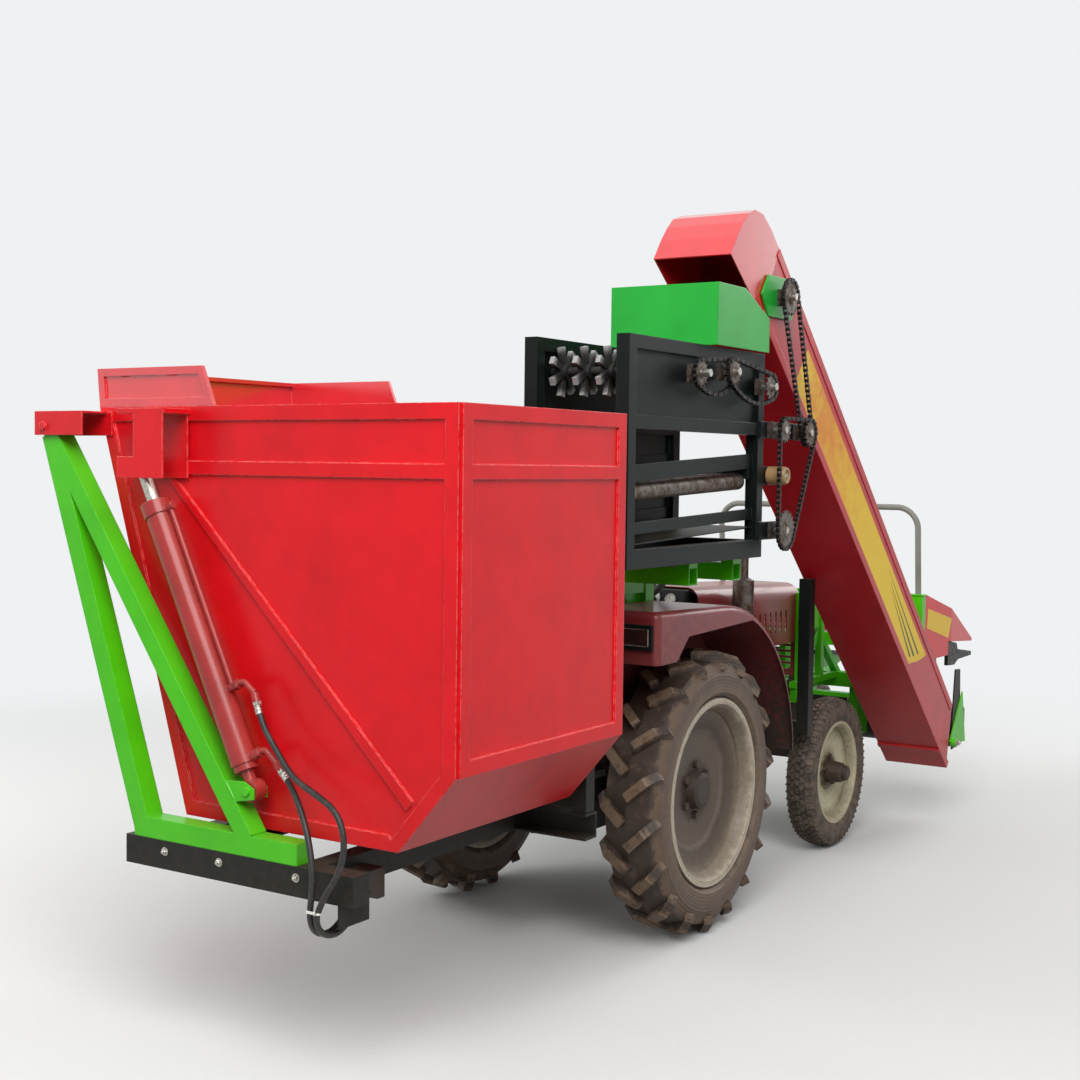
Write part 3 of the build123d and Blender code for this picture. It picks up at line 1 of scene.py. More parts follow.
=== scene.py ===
# %% [markdown]
# # A tractor-mounted corn harvester
# A small tractor carries a corn header in front, a steep chain elevator on its right side, a husking
# bed behind the seat and a tipping bin for the ears. The construction comes from a fixed frame of
# CAD bodies. This lesson gives it its finish: enamel on sheet steel, dusty rubber, cast iron, oily
# chains, hoses and a vinyl seat.

# %% Load the frame
import math
import random
from functools import cached_property

import bmesh
import bpy
from mathutils import Matrix, Vector


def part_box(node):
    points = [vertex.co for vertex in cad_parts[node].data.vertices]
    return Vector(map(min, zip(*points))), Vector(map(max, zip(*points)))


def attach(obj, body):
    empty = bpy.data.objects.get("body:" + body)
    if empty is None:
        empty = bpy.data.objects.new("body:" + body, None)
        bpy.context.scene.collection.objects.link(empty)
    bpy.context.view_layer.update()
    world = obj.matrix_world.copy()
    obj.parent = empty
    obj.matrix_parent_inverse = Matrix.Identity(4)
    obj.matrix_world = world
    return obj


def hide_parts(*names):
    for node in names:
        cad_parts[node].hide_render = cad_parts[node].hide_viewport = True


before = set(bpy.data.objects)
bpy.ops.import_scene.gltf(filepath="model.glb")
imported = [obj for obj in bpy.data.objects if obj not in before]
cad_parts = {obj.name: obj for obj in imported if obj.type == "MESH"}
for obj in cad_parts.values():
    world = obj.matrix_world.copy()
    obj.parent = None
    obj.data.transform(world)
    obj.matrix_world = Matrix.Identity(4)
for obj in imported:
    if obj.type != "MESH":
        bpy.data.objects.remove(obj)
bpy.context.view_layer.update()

# %% [markdown]
# Every size below is written as a workshop drawing would give it: millimetres from the point on the
# ground under the rear axle, with X to the right, Y forward and Z up. One function turns such a point
# into the frame's own metres.

# %% Points given from the rear axle
MIDDLE_X = 5.0
MIDDLE_Y = 667.5


def at(x, y, z):
    """A point in the frame's metres, from millimetres off the rear axle."""
    return Vector(((x - MIDDLE_X) / 1000, (y - MIDDLE_Y) / 1000, z / 1000))


print("the rear axle's ground point is at", tuple(round(v, 4) for v in at(0, 0, 0)))

# %% [markdown]
# ## Camera
# The view is from eye height behind the right corner. Its place and turn were worked out from the
# machine's own edges, so the camera is written as a position, a turn about the vertical, a small dip
# and a small roll. The lens is a moderate telephoto on a square frame.

# %% The camera
CAMERA_AT = (2961.6, -4885.8, 1636.1)
CAMERA_TURN = 0.5697
CAMERA_DIP = 0.0476
CAMERA_ROLL = 0.0126
SENSOR = 36.0
FOCAL_IN_FRAMES = 1551.96 / 1080

camera_data = bpy.data.cameras.new("camera")
camera_data.sensor_fit = "AUTO"
camera_data.sensor_width = SENSOR
camera_data.lens = SENSOR * FOCAL_IN_FRAMES
camera = bpy.data.objects.new("camera", camera_data)
bpy.context.scene.collection.objects.link(camera)
camera_place = Matrix.Translation(at(*CAMERA_AT))
for angle, axis in ((CAMERA_TURN, "Z"), (math.pi / 2 - CAMERA_DIP, "X"), (CAMERA_ROLL, "Z")):
    camera_place = camera_place @ Matrix.Rotation(angle, 4, axis)
camera.matrix_world = camera_place
bpy.context.scene.camera = camera
bpy.context.scene.view_settings.view_transform = "Standard"
print("lens", round(camera_data.lens, 2), "mm")

# %% [markdown]
# ## Helpers
# Colours are written as the sRGB hex values that a paint chart gives. Shader nodes want linear
# numbers, so one function turns one into the other. A recipe holds one material's nodes: each of its
# calls adds a node and returns the output that the next node takes.

# %% Colour and node helpers


def linear(hex_colour):
    """Linear RGBA from an sRGB hex string."""
    parts = [int(hex_colour[i:i + 2], 16) / 255 for i in (1, 3, 5)]
    return tuple(p / 12.92 if p <= 0.04045 else ((p + 0.055) / 1.055) ** 2.4 for p in parts) + (1.0,)


class Recipe:
    """The shader nodes of one new material or world."""

    def __init__(self, block):
        self.block = block
        block.use_nodes = True
        block.node_tree.nodes.clear()

    def add(self, kind, inputs=None, output=0, **settings):
        """Add a node, set it up, fill or link its inputs, and return an output, or the node for None."""
        made = self.block.node_tree.nodes.new("ShaderNode" + kind)
        for name, value in settings.items():
            setattr(made, name, value)
        for name, value in (inputs or {}).items():
            if isinstance(value, bpy.types.NodeSocket):
                self.block.node_tree.links.new(value, made.inputs[name])
            else:
                made.inputs[name].default_value = value
        return made if output is None else made.outputs[output]

    @cached_property
    def place(self):
        """The object coordinates that the patterns follow."""
        return self.add("TexCoord", output="Object")

    def noise(self, scale, detail, rough=0.5):
        """Noise between 0 and 1 in patches of about 1 / scale metres."""
        return self.add("TexNoise", {"Vector": self.place, "Scale": scale, "Detail": detail, "Roughness": rough},
                        "Fac")

    def ranged(self, value, low, high, top=1.0, bottom=0.0, **settings):
        """How far a value has come from low to high, as a number from bottom to top."""
        return self.add("MapRange", {"Value": value, "From Min": low, "From Max": high, "To Min": bottom,
                                     "To Max": top}, "Result", **settings)

    def maths(self, operation, *values, clamp=False):
        """One operation on numbers."""
        return self.add("Math", dict(enumerate(values)), "Value", operation=operation, use_clamp=clamp)

    def vectors(self, operation, *values, output="Vector"):
        """One operation on vectors."""
        return self.add("VectorMath", dict(enumerate(values)), output, operation=operation)

    def mixed(self, share, first, second):
        """Two colours, each an output or an sRGB string, mixed by a share."""
        first, second = (linear(colour) if isinstance(colour, str) else colour for colour in (first, second))
        return self.add("Mix", {"Factor": share, "A": first, "B": second}, 2, data_type="RGBA")

    def ramped(self, value, stops):
        """A colour that runs through rows of (position, sRGB colour)."""
        ramp = self.add("ValToRGB", {"Fac": value}, None)
        elements = ramp.color_ramp.elements
        elements.remove(elements[1])
        elements[0].position = stops[0][0]
        elements[0].color = linear(stops[0][1])
        for position, colour in stops[1:]:
            elements.new(position).color = linear(colour)
        return ramp.outputs["Color"]

    def bumped(self, height, strength, distance, **more):
        """The normal of a surface tipped by a height pattern; distance in metres."""
        return self.add("Bump", {"Height": height, "Strength": strength, "Distance": distance, **more}, "Normal")

    def shaded(self, colour, rough, normal, **more):
        """Close the material with its shader and return it; `more` names inputs with _ for a space."""
        inputs = {name.replace("_", " "): value for name, value in more.items()}
        shader = self.add("BsdfPrincipled", {"Base Color": colour, "Roughness": rough, **inputs}, "BSDF")
        if normal:
            self.block.node_tree.links.new(normal, shader.node.inputs["Normal"])
        self.add("OutputMaterial", {"Surface": shader}, None)
        return self.block


def new_material(name):
    """The recipe of a new material."""
    return Recipe(bpy.data.materials.new(name))


def link(name, data):
    """A new object in the scene."""
    made = bpy.data.objects.new(name, data)
    bpy.context.scene.collection.objects.link(made)
    return made


print("brick red in linear numbers:", [round(v, 3) for v in linear("#c8202c")])

# %% [markdown]
# ## Painted steel
# Most of this machine is mild steel sheet and tube with one thick coat of air-dried enamel. The eye
# reads four things in it: a gloss that breaks up in an orange-peel ripple, small shifts of tone where
# the coat is thicker, pale dust that lies on level faces and low down, and edges where the paint is
# thin or knocked off. On the bright red and green finishes and on the fenders the edge colour is pale
# instead, a painted highlight along the edges, and on the fenders the soil low down is dark, mud with
# painted shade. A noise of about 3 mm grain makes the ripple, a noise of about 150 mm the shift of
# tone, the face's own direction and height place the dust, and a Bevel node finds the edges.

# %% A function for enamel on steel


def painted(name, colour, dark, dust=0.25, wear=0.35, rough=0.34, coat=0.08, worn="#6b4a3c", low=0.35,
            soil="#a8957f", coat_ior=1.5, top=1.0, shine=0.3):
    """Enamel on steel. `dark` is a darker tone where the coat is thicker, `worn` the colour on knocked edges
    (a painted highlight along the edges where it is pale), `soil` what lies on level faces, by a share of
    `top`, and thicker and thicker round and below the height `low` (m); a dark `soil` there is partly painted shade."""
    m = new_material(name)
    tone = m.ranged(m.noise(6.5, 4.0, 0.6), 0.40, 0.80)
    facing_up = m.add("SeparateXYZ", {"Vector": m.add("TexCoord", output="Normal")}, "Z")
    height = m.add("SeparateXYZ", {"Vector": m.place}, "Z")
    lying = m.maths("MAXIMUM", m.ranged(facing_up, 0.25, 1.0, top), m.ranged(height, low + 0.55, low - 0.25))
    broken = m.maths("MULTIPLY", lying, m.noise(38.0, 6.0, 0.7))
    dusty = m.maths("MULTIPLY", broken, dust * 1.6, clamp=True)
    dusted = m.mixed(dusty, m.mixed(tone, colour, dark), soil)
    rounded = m.add("Bevel", {"Radius": 0.004}, "Normal", samples=4)
    along = m.vectors("DOT_PRODUCT", rounded, m.add("NewGeometry", output="Normal"), output="Value")
    # The edges take the `worn` colour; where that colour is pale it is a painted highlight along the edges.
    chips = m.ranged(m.noise(70.0, 5.0, 0.75), 0.62 - 0.25 * wear, 0.68 - 0.2 * wear)
    knocked = m.maths("MULTIPLY", m.ranged(along, 0.995, 0.90), chips, clamp=True)
    return m.shaded(m.mixed(m.maths("MULTIPLY", knocked, wear), dusted, worn),
                    m.maths("MULTIPLY_ADD", dusty, 0.6, rough, clamp=True),
                    m.bumped(m.noise(330.0, 2.0), 0.08, 0.001, Normal=rounded), Specular_IOR_Level=shine,
                    Coat_Weight=coat, Coat_Roughness=0.15, Coat_IOR=coat_ior)


# The bin's pale pink edge colour is a painted highlight along the edges.
red_enamel = painted("red_enamel_on_sheet", "#de101b", "#c90b16", dust=0.08, wear=0.75, worn="#f08c86", coat=0.04)
# The casing is the bin's red enamel painted darker, as painted shade; its pale edge colour is a painted highlight.
casing_enamel = painted("red_enamel_on_folded_sheet", "#c51c27", "#b01622", dust=0.10, wear=0.45, worn="#e06a68")
# The tubes' pale green edge colour is a painted highlight along the edges.
green_enamel = painted("leaf_green_enamel_on_tube", "#4cc70c", "#41b607", dust=0.10, wear=0.45, worn="#9be060")
hopper_enamel = painted("mid_green_enamel_on_sheet", "#22ab38", "#1a9c30", dust=0.08, worn="#3c6b2a")
black_enamel = painted("black_enamel_on_frame", "#101716", "#0b100f", dust=0.12, rough=0.42, coat=0.0,
                       worn="#4a3f36", shine=0.16)
maroon_enamel = painted("faded_maroon_enamel", "#8c2f33", "#742427", dust=0.38, rough=0.38, coat=0.35)
# The hood's pale pink edge colour is a painted highlight; its gloss comes from the coat.
hood_enamel = painted("glossy_red_enamel_on_rolled_sheet", "#dd1a26", "#cc1220", dust=0.06, rough=0.2, coat=1.0,
                      worn="#f3a3a0", coat_ior=1.95)
# The fenders darken towards the bottom with mud and painted shade under the arches; their pale edge colour is a
# painted highlight.
fender_enamel = painted("faded_maroon_enamel_with_mud_and_painted_shade", "#942c32", "#772327", dust=1.5, rough=0.36,
                        coat=0.4, low=0.78, soil="#352822", worn="#c98d86", top=0.08)
grey_enamel = painted("grey_enamel_on_tube", "#8b8d86", "#77796f", dust=0.3, rough=0.4, coat=0.1)
primer = painted("brown_red_gloss_on_tube", "#a8322f", "#8a2725", dust=0.12, rough=0.26, coat=0.2, worn="#b3aaa0")
bush_paint = painted("tan_enamel_on_turned_bush", "#a8865a", "#92744c", dust=0.2, worn="#5b4a34")
print("painted finishes:", len([m for m in bpy.data.materials if "enamel" in m.name or "gloss" in m.name]))

# %% [markdown]
# ## Rubber, iron and bare steel
# Rubber is carbon black under dried mud: matt, nearly black where it is clean, brown where dirt sits
# in patches of about 40 mm with a fine grain in them. Cast iron has a coarse sand-cast grain of about
# 2 mm under old dark paint and dust. Bare steel is ground or rubbed bright in places and rusted in
# others.

# %% Functions for rubber, cast iron and worn steel


def rubber(name, clean, dirt, amount, rough=0.85):
    """Rubber with dried dirt in patches."""
    m = new_material(name)
    grain = m.maths("MULTIPLY_ADD", m.noise(260.0, 4.0), 0.45, m.noise(24.0, 7.0, 0.68))
    dirty = m.ranged(grain, 0.80 - amount, 1.12 - amount * 0.6)
    return m.shaded(m.mixed(dirty, clean, dirt), rough, m.bumped(grain, 0.35, 0.0015), IOR=1.52)


def rough_metal(name, colour, second, metallic=0.0, rough=0.6, grain_mm=2.0, height_mm=0.4, patch_mm=60.0):
    """Cast or worn metal with a grain of a real size and patches of a second tone."""
    m = new_material(name)
    patches = m.ranged(m.noise(1000.0 / patch_mm, 6.0, 0.7), 0.42, 0.62)
    return m.shaded(m.mixed(patches, colour, second), m.maths("MULTIPLY_ADD", patches, 0.22, rough, clamp=True),
                    m.bumped(m.noise(1000.0 / grain_mm, 3.0), 0.5, height_mm / 1000), Metallic=metallic)


road_rubber = rubber("dusty_road_tyre_rubber", "#2e2a26", "#7f6f60", 0.26)
hose_rubber = rubber("black_hose_rubber", "#121212", "#4b4038", 0.08, rough=0.5)
star_rubber = rubber("black_moulded_rubber", "#0d0e0e", "#3a3632", 0.05, rough=0.55)
cast_iron = rough_metal("sand_cast_iron_old_paint", "#2d2622", "#4d3b2f", rough=0.62)
worn_steel = rough_metal("rubbed_steel_with_rust", "#6d6660", "#4d3527", 0.75, 0.42, 1.2, 0.15, 35.0)
chain_steel = rough_metal("oiled_chain_steel", "#2f2a27", "#191615", 0.7, 0.38, 0.8, 0.1, 12.0)
bright_steel = rough_metal("zinc_plated_steel", "#c4c2ba", "#9a958a", 1.0, 0.3, 0.6, 0.05, 8.0)
print("rubber and metal finishes ready")

# %% [markdown]
# ## Hydraulic hoses
# Two black rubber hoses feed the tipping cylinder. Each leaves a fitting on the barrel, falls behind the
# bin's foot, turns under the base frame and goes up into the valve block. A hose is stiff: it never kinks,
# so one smooth NURBS spline through a few guiding points is its true form, with a round bevel.

# %% The two hoses as curves
UPPER_ROUTE = [(82, -1795, 991), (106, -1801, 936), (163, -1812, 878), (240, -1828, 808), (336, -1848, 782),
               (428, -1866, 748), (458, -1872, 672), (436, -1872, 590), (384, -1872, 520), (356, -1872, 455),
               (346, -1817, 400), (346, -1739, 400), (346, -1684, 455)]
LOWER_ROUTE = [(172, -1795, 814), (214, -1804, 782), (272, -1830, 728), (320, -1852, 655), (350, -1869, 560),
               (336, -1872, 455), (322, -1817, 400), (322, -1739, 400), (322, -1684, 455)]
HOSE_DIAMETER = 0.017

for label, route, length in (("upper", UPPER_ROUTE, 0.987), ("lower", LOWER_ROUTE, 0.655)):
    data = bpy.data.curves.new(f"tipping_hose_{label}", "CURVE")
    data.dimensions = "3D"
    spline = data.splines.new("NURBS")
    spline.points.add(len(route) - 1)
    for point, place in zip(spline.points, route):
        point.co = (*at(*place), 1.0)
    spline.order_u = 3
    spline.use_endpoint_u = True
    spline.resolution_u = 10
    data.bevel_depth = HOSE_DIAMETER / 2
    data.bevel_resolution = 5
    data.use_fill_caps = True
    data.materials.append(hose_rubber)
    hose = link(data.name, data)
    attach(hose, "root")
    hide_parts(f"tip_hose_{label}")
print("hoses:", len(UPPER_ROUTE), "and", len(LOWER_ROUTE), "guiding points")

# %% [markdown]
# ## Finishes in rings
# A rim is pressed steel with a few rolled rings, and oil and mud gather round the hub. On the rear rim
# the inside of the barrel is darker, a painted shade, and the outer flange the palest, a painted highlight.
# A big tyre is pale where its bars rub the ground and dark between them, and a star blade is black with
# paler bands towards its tip, a painted highlight. The distance from the turning axis says where each
# tone goes, which turns with the part and holds from any side.

# %% A finish that goes from the axis outwards
MOULDED_RING_PITCH = 0.012


def rim_paint(name, axle, bands, smudge=0.05, stain="#54402f", rough=0.6, rings=0.0):
    """A finish in rings. `bands` are (radius in mm, sRGB colour) outwards; `smudge` (m) blurs them by dirt;
    `rings` is the strength of the fine rings that a tyre's mould leaves."""
    m = new_material(name)
    flat = m.vectors("MULTIPLY", m.vectors("SUBTRACT", m.place, at(*axle)), (0.0, 1.0, 1.0))
    radius = m.vectors("LENGTH", flat, output="Value")
    smeared = m.maths("MULTIPLY_ADD", m.noise(22.0, 7.0, 0.7), smudge, radius)
    colour = m.ramped(smeared, [(band / 1000 + smudge / 2, tone) for band, tone in bands])
    rust = m.noise(85.0, 8.0, 0.75)
    ridge = m.maths("SINE", m.maths("MULTIPLY", radius, 2 * math.pi / MOULDED_RING_PITCH))
    return m.shaded(m.mixed(m.ranged(rust, 0.56, 0.66, 0.75), colour, stain), rough,
                    m.bumped(ridge, rings, 0.0015, Normal=m.bumped(rust, 0.25, 0.001)))


REAR_WHEEL_AXLE = (480, 0, 500)
FRONT_WHEEL_AXLE = (400, 1453, 324)
STAR_SHAFT_AXIS = (500, -748, 1930)
# Rear rim: the dark hub is oil and mud, the darker bands inside the barrel are painted shade, and the pale outer
# bands a painted highlight.
rear_rim_paint = rim_paint("old_rim_paint_with_mud_and_painted_light", REAR_WHEEL_AXLE, [
    (40, "#2c201a"), (95, "#3d2f27"), (120, "#5a4e43"), (205, "#665a4e"), (222, "#463a30"), (258, "#5d5044"),
    (296, "#857868"), (312, "#aea18f"), (325, "#c2b7a5")])
front_rim_paint = rim_paint("cream_rim_paint", FRONT_WHEEL_AXLE, [
    (30, "#33261c"), (72, "#44362a"), (84, "#a59c7c"), (125, "#cfc9ab"), (160, "#c2bb9b"), (188, "#8f866c"),
    (212, "#bdb598")])
bar_tyre_finish = rim_paint("bar_tread_tyre_rubber_with_mud", REAR_WHEEL_AXLE, [
    (330, "#4a3c31"), (352, "#6b5847"), (400, "#55453a"), (440, "#685443"), (456, "#3f3229"), (474, "#382b22"),
    (484, "#5a4839"), (496, "#77634f")], smudge=0.11, stain="#3a2e25", rough=0.58, rings=0.25)
# Star blades: black rubber; the paler bands towards the tips are a painted highlight.
star_finish = rim_paint("black_star_blades_with_painted_highlight_tips", STAR_SHAFT_AXIS, [
    (20, "#141515"), (34, "#1b1c1c"), (52, "#262726"), (62, "#4e5051"), (70, "#7f8181"), (78, "#a5a6a4")])
print("finishes in rings: rear rim, front rim, bar tread tyre, star blades")

# %% [markdown]
# ## Studio
# A pale floor and a white surround keep attention on the machine. The world gives an even sky light.
# Its brightness for the lens and for reflections comes from Light Path, so the background is white
# without more light falling on the paint. The floor fades into that same white a few metres out, so
# no horizon line shows, and it throws back less light than it shows, or it would wash out the
# undersides. One large soft lamp stands in for the brighter part of an overcast sky, high above the
# camera, and two weaker ones fill the left side and the front.

# %% Floor, world and lamps
SURROUND_COLOUR = "#eff1f2"
SKY_STRENGTH, FLOOR_GLOW = 0.52, 0.3
FLOOR_REACH = 300.0
FADE_FROM, FADE_TO = 2.6, 6.5


def seen_by(recipe, *rays):
    """1 for rays of the named kinds, 0 for the others."""
    kinds = recipe.add("LightPath", output=None).outputs
    share = kinds[rays[0]]
    for ray in rays[1:]:
        share = recipe.maths("MAXIMUM", share, kinds[ray])
    return share


bpy.context.scene.world = bpy.data.worlds.new("overcast_surround")
m = Recipe(bpy.context.scene.world)
seen = seen_by(m, "Is Camera Ray", "Is Glossy Ray", "Is Transmission Ray")
surround = m.add("Background", {"Color": linear(SURROUND_COLOUR),
                                "Strength": m.ranged(seen, 0.0, 1.0, bottom=SKY_STRENGTH)}, "Background")
m.add("OutputWorld", {"Surface": surround}, None)

floor_mesh = bpy.data.meshes.new("floor")
floor_mesh.from_pydata([(x * FLOOR_REACH, y * FLOOR_REACH, 0) for x, y in ((-1, -1), (1, -1), (1, 1), (-1, 1))],
                       [], [(0, 1, 2, 3)])
floor = link("floor", floor_mesh)
m = new_material("pale_matt_floor")
seen = seen_by(m, "Is Camera Ray", "Is Glossy Ray")
speckled = m.mixed(m.noise(60.0, 5.0), "#d6d6d4", "#dededc")
matt = m.add("BsdfPrincipled", {"Base Color": m.mixed(seen, "#7d7a76", speckled), "Roughness": 0.9}, "BSDF")
horizon = m.add("Emission", {"Color": linear(SURROUND_COLOUR),
                             "Strength": m.ranged(seen, 0.0, 1.0, bottom=FLOOR_GLOW)}, "Emission")
far_away = m.ranged(m.vectors("LENGTH", m.place, output="Value"), FADE_FROM, FADE_TO,
                    interpolation_type="SMOOTHSTEP")
m.add("OutputMaterial", {"Surface": m.add("MixShader", {0: far_away, 1: matt, 2: horizon}, "Shader")}, None)
floor_mesh.materials.append(m.block)

# Rows: name, place (mm), aimed at (mm), side (m), power (W).
LAMPS = [
    ("sky_lamp", (3300, -5000, 6000), (0, 300, 900), 5.0, 540.0),
    ("left_fill", (-5200, -1800, 3600), (0, 300, 900), 4.0, 160.0),
    ("front_fill", (1500, 7500, 4800), (0, 1200, 800), 4.0, 210.0),
]
for lamp_name, lamp_at, aim, lamp_side, power in LAMPS:
    lamp_data = bpy.data.lights.new(lamp_name, "AREA")
    lamp_data.shape = "RECTANGLE"
    lamp_data.size = lamp_data.size_y = lamp_side
    lamp_data.energy = power
    lamp = link(lamp_name, lamp_data)
    lamp.location = at(*lamp_at)
    lamp.rotation_euler = (at(*aim) - at(*lamp_at)).to_track_quat("-Z", "Y").to_euler()
print("lamps:", [row[0] for row in LAMPS])

# %% [markdown]
# ## Finishes for the fixed pieces
# The CAD pieces keep their shape and place. Each gets its finish from one short table, so the whole
# colour scheme can be read at a glance: red for sheet work, green for carrying tubes, black for the
# frame and the husking bed, and the tractor's own faded maroon.

# %% Give each fixed piece its finish
# Rows: finish, then the nodes that have it.
FINISHES = [
    (cast_iron, ["tractor_chassis", "engine_block", "hose_block", "front_frame", "front_axle_beam", "knuckle_right",
                 "knuckle_left"]),
    (worn_steel, ["tie_rod", "exhaust", "husking_rollers", "cross_auger", "snapping_rolls"]),
    (maroon_enamel, ["bonnet", "grille"]),
    (fender_enamel, ["fenders"]),
    (black_enamel, ["tail_lamps", "footplates", "seat_post", "steering_column", "base_frame", "rear_columns",
                    "husker_frame", "elevator_post", "header_trough", "radiator"]),
    (green_enamel, ["tipping_stands", "husker_subframe", "front_carrier", "header_frame"]),
    (hopper_enamel, ["hopper"]),
    (red_enamel, ["bin_end_rear", "bin_end_front", "bin_shell", "bin_arms", "dividers"]),
    (hood_enamel, ["elevator_hood", "bin_lip"]),
    (casing_enamel, ["elevator_casing"]),
    (primer, ["tip_barrel_rear", "tip_barrel_front", "lift_barrel"]),
    (bright_steel, ["tip_rod_rear", "tip_rod_front", "lift_rod"]),
    (star_rubber, ["steering_wheel"]),
    (star_finish, ["star_shaft"]),
    (chain_steel, ["gathering_chains"]),
    (grey_enamel, ["guard_hoop"]),
    (bar_tyre_finish, ["rear_tyre_right", "rear_tyre_left"]),
    (rear_rim_paint, ["rear_rim_right", "rear_rim_left"]),
    (front_rim_paint, ["front_rim_right", "front_rim_left"]),
]
for finish, node_names in FINISHES:
    for node_name in node_names:
        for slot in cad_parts[node_name].material_slots:
            slot.material = finish
print(sum(len(row[1]) for row in FINISHES), "fixed pieces finished")

# %% [markdown]
# ## Small makers
# Bolts, beads of weld, bushes and tubes come up everywhere on a farm machine, so they are made once
# here. Each is a little mesh built with bmesh: a profile turned about an axis, a bar along points, or
# a flat outline given a thickness. All three are rings of vertices with faces between them. Bevelled
# or rippled edges matter more than size, because they catch the light.

# %% Turned, swept and flat forms
chance = random.Random(11)
RIGHTWARDS = (1, 0, 0)
DOWNWARDS = Vector((0, 0, -1))


def standing(place, axis, turn=0.0):
    """A placement at a point (mm) whose Z axis runs along a direction."""
    facing = Vector(axis).to_track_quat("Z", "Y").to_matrix().to_4x4()
    return Matrix.Translation(at(*place)) @ facing @ Matrix.Rotation(math.radians(turn), 4, "Z")


def round_spot(placement, radius, angle, height):
    """A point at a radius (mm), angle (radians) and height (mm) about a placement's Z axis."""
    return placement @ (Vector((radius * math.cos(angle), radius * math.sin(angle), height)) / 1000)


def wall(mesh, low, high):
    """Faces between two rings of vertices."""
    for n in range(len(low)):
        after = (n + 1) % len(low)
        mesh.faces.new((low[n], low[after], high[after], high[n]))


def join_rings(mesh, rings, closed=False):
    """Walls from ring to ring; the first and last ring are capped, or joined when closed."""
    for low, high in zip(rings, rings[1:] + rings[:1] if closed else rings[1:]):
        wall(mesh, low, high)
    if not closed:
        mesh.faces.new(rings[0][::-1])
        mesh.faces.new(rings[-1])


def lathe(mesh, placement, profile, sides=24, closed=False):
    """Turn a profile of (height, radius) rows in mm about a placement's Z axis."""
    join_rings(mesh, [[mesh.verts.new(round_spot(placement, radius, 2 * math.pi * n / sides, height))
                       for n in range(sides)] for height, radius in profile], closed)


def sweep(mesh, points, radii, sides=8):
    """A round bar through points in metres; radii in mm, one for all or one for each."""
    if not isinstance(radii, (list, tuple)):
        radii = [radii] * len(points)
    side = (points[1] - points[0]).orthogonal().normalized()
    rings = []
    for n, (point, radius) in enumerate(zip(points, radii)):
        along = (points[min(n + 1, len(points) - 1)] - points[max(n - 1, 0)]).normalized()
        side = (side - along * side.dot(along)).normalized()
        other = along.cross(side)
        rings.append([mesh.verts.new(point + (side * math.cos(2 * math.pi * k / sides)
                                              + other * math.sin(2 * math.pi * k / sides)) * radius / 1000)
                      for k in range(sides)])
    join_rings(mesh, rings)


def short_bar(mesh, start, end, radii, sides):
    """A straight bar with a radius (mm) at its start, middle and end."""
    sweep(mesh, [start, start.lerp(end, 0.5), end], radii, sides)


def flat_form(mesh, corners, thickness):
    """A flat outline through points in metres, pushed out by a thickness vector in metres."""
    join_rings(mesh, [[mesh.verts.new(corner + push) for corner in corners] for push in (Vector(), thickness)])


def plate(mesh, x, outline, thickness):
    """A flat plate from x to x + thickness, with an outline of (y, z) rows; all in mm."""
    flat_form(mesh, [at(x, y, z) for y, z in outline], Vector((thickness / 1000, 0, 0)))


def on_circle(y, z, radius, angle):
    """The (y, z) point at an angle on a circle seen from the right."""
    return y + radius * math.cos(angle), z + radius * math.sin(angle)


def hex_bolt(mesh, place, axis, across, turn=0.0):
    """A washer, a chamfered hexagon and the end of the thread, on a face at a point (mm)."""
    placement = standing(place, axis, turn)
    corner = across / math.sqrt(3)
    lathe(mesh, placement, [(-1, across * 0.8), (1.5, across * 0.8), (2.0, across * 0.74)], 20)
    lathe(mesh, placement, [(2, corner * 0.95), (2.8, corner), (across * 0.5, corner),
                            (across * 0.57, corner * 0.86)], 6)
    lathe(mesh, placement, [(across * 0.57, across * 0.3), (across * 0.8, across * 0.3),
                            (across * 0.88, across * 0.24)], 12)


def add_piece(name, mesh, finish, body="root", smooth=True):
    """Turn a finished bmesh into an object that rides on a body."""
    bmesh.ops.recalc_face_normals(mesh, faces=mesh.faces)
    data = bpy.data.meshes.new(name)
    mesh.to_mesh(data)
    mesh.free()
    data.materials.append(finish)
    if smooth:
        data.shade_smooth()
        data.set_sharp_from_angle(angle=math.radians(38))
    made = link(name, data)
    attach(made, body)
    return made


print("makers ready")

# %% [markdown]
# ## Front tyres
# A small road tyre has a crown cut into blocks, a shoulder with ribs and a plain sidewall with a raised
# bead line. The carcass could be one lathe form and the blocks a texture, but the blocks show against
# the light at the tyre's edge, so they are real: five rows of short slanted blocks, the rows shifted
# against each other.

# %% Build a front tyre with its tread blocks
BLOCKS_ROUND = 62
BLOCK_DEPTH = 10
# Half a block's length in block steps, and the share of it that is left at the top.
HALF_BLOCK, TOP_SHARE = 0.36, 0.88
CROWN_RADIUS, TREAD_RADIUS, CROWN_DROP = 323.5, 320, 0.0052
# Rows: offset across the tread, block width, slant in degrees, shift in block steps.
TREAD_ROWS = [(-43.0, 19.0, 14.0, 0.0), (-21.5, 17.0, -24.0, 0.35), (0.0, 18.0, 24.0, 0.1),
              (21.5, 17.0, -24.0, 0.6), (43.0, 19.0, 14.0, 0.3)]
# Rows: offset and radius of the carcass, from one bead to the middle.
HALF_CARCASS = [(-47, 207), (-50, 222), (-56, 236), (-58, 238), (-60, 248), (-61.5, 264), (-60, 284), (-56, 300),
                (-52, 306), (-40, 311), (-20, 314)]
SHOULDER_RIB = [(311, 52.5), (300, 57.0), (290, 59.5)]


def crown_height(offset):
    """Radius of the tread's top at an offset from the middle of the tyre."""
    return CROWN_RADIUS - CROWN_DROP * offset * offset


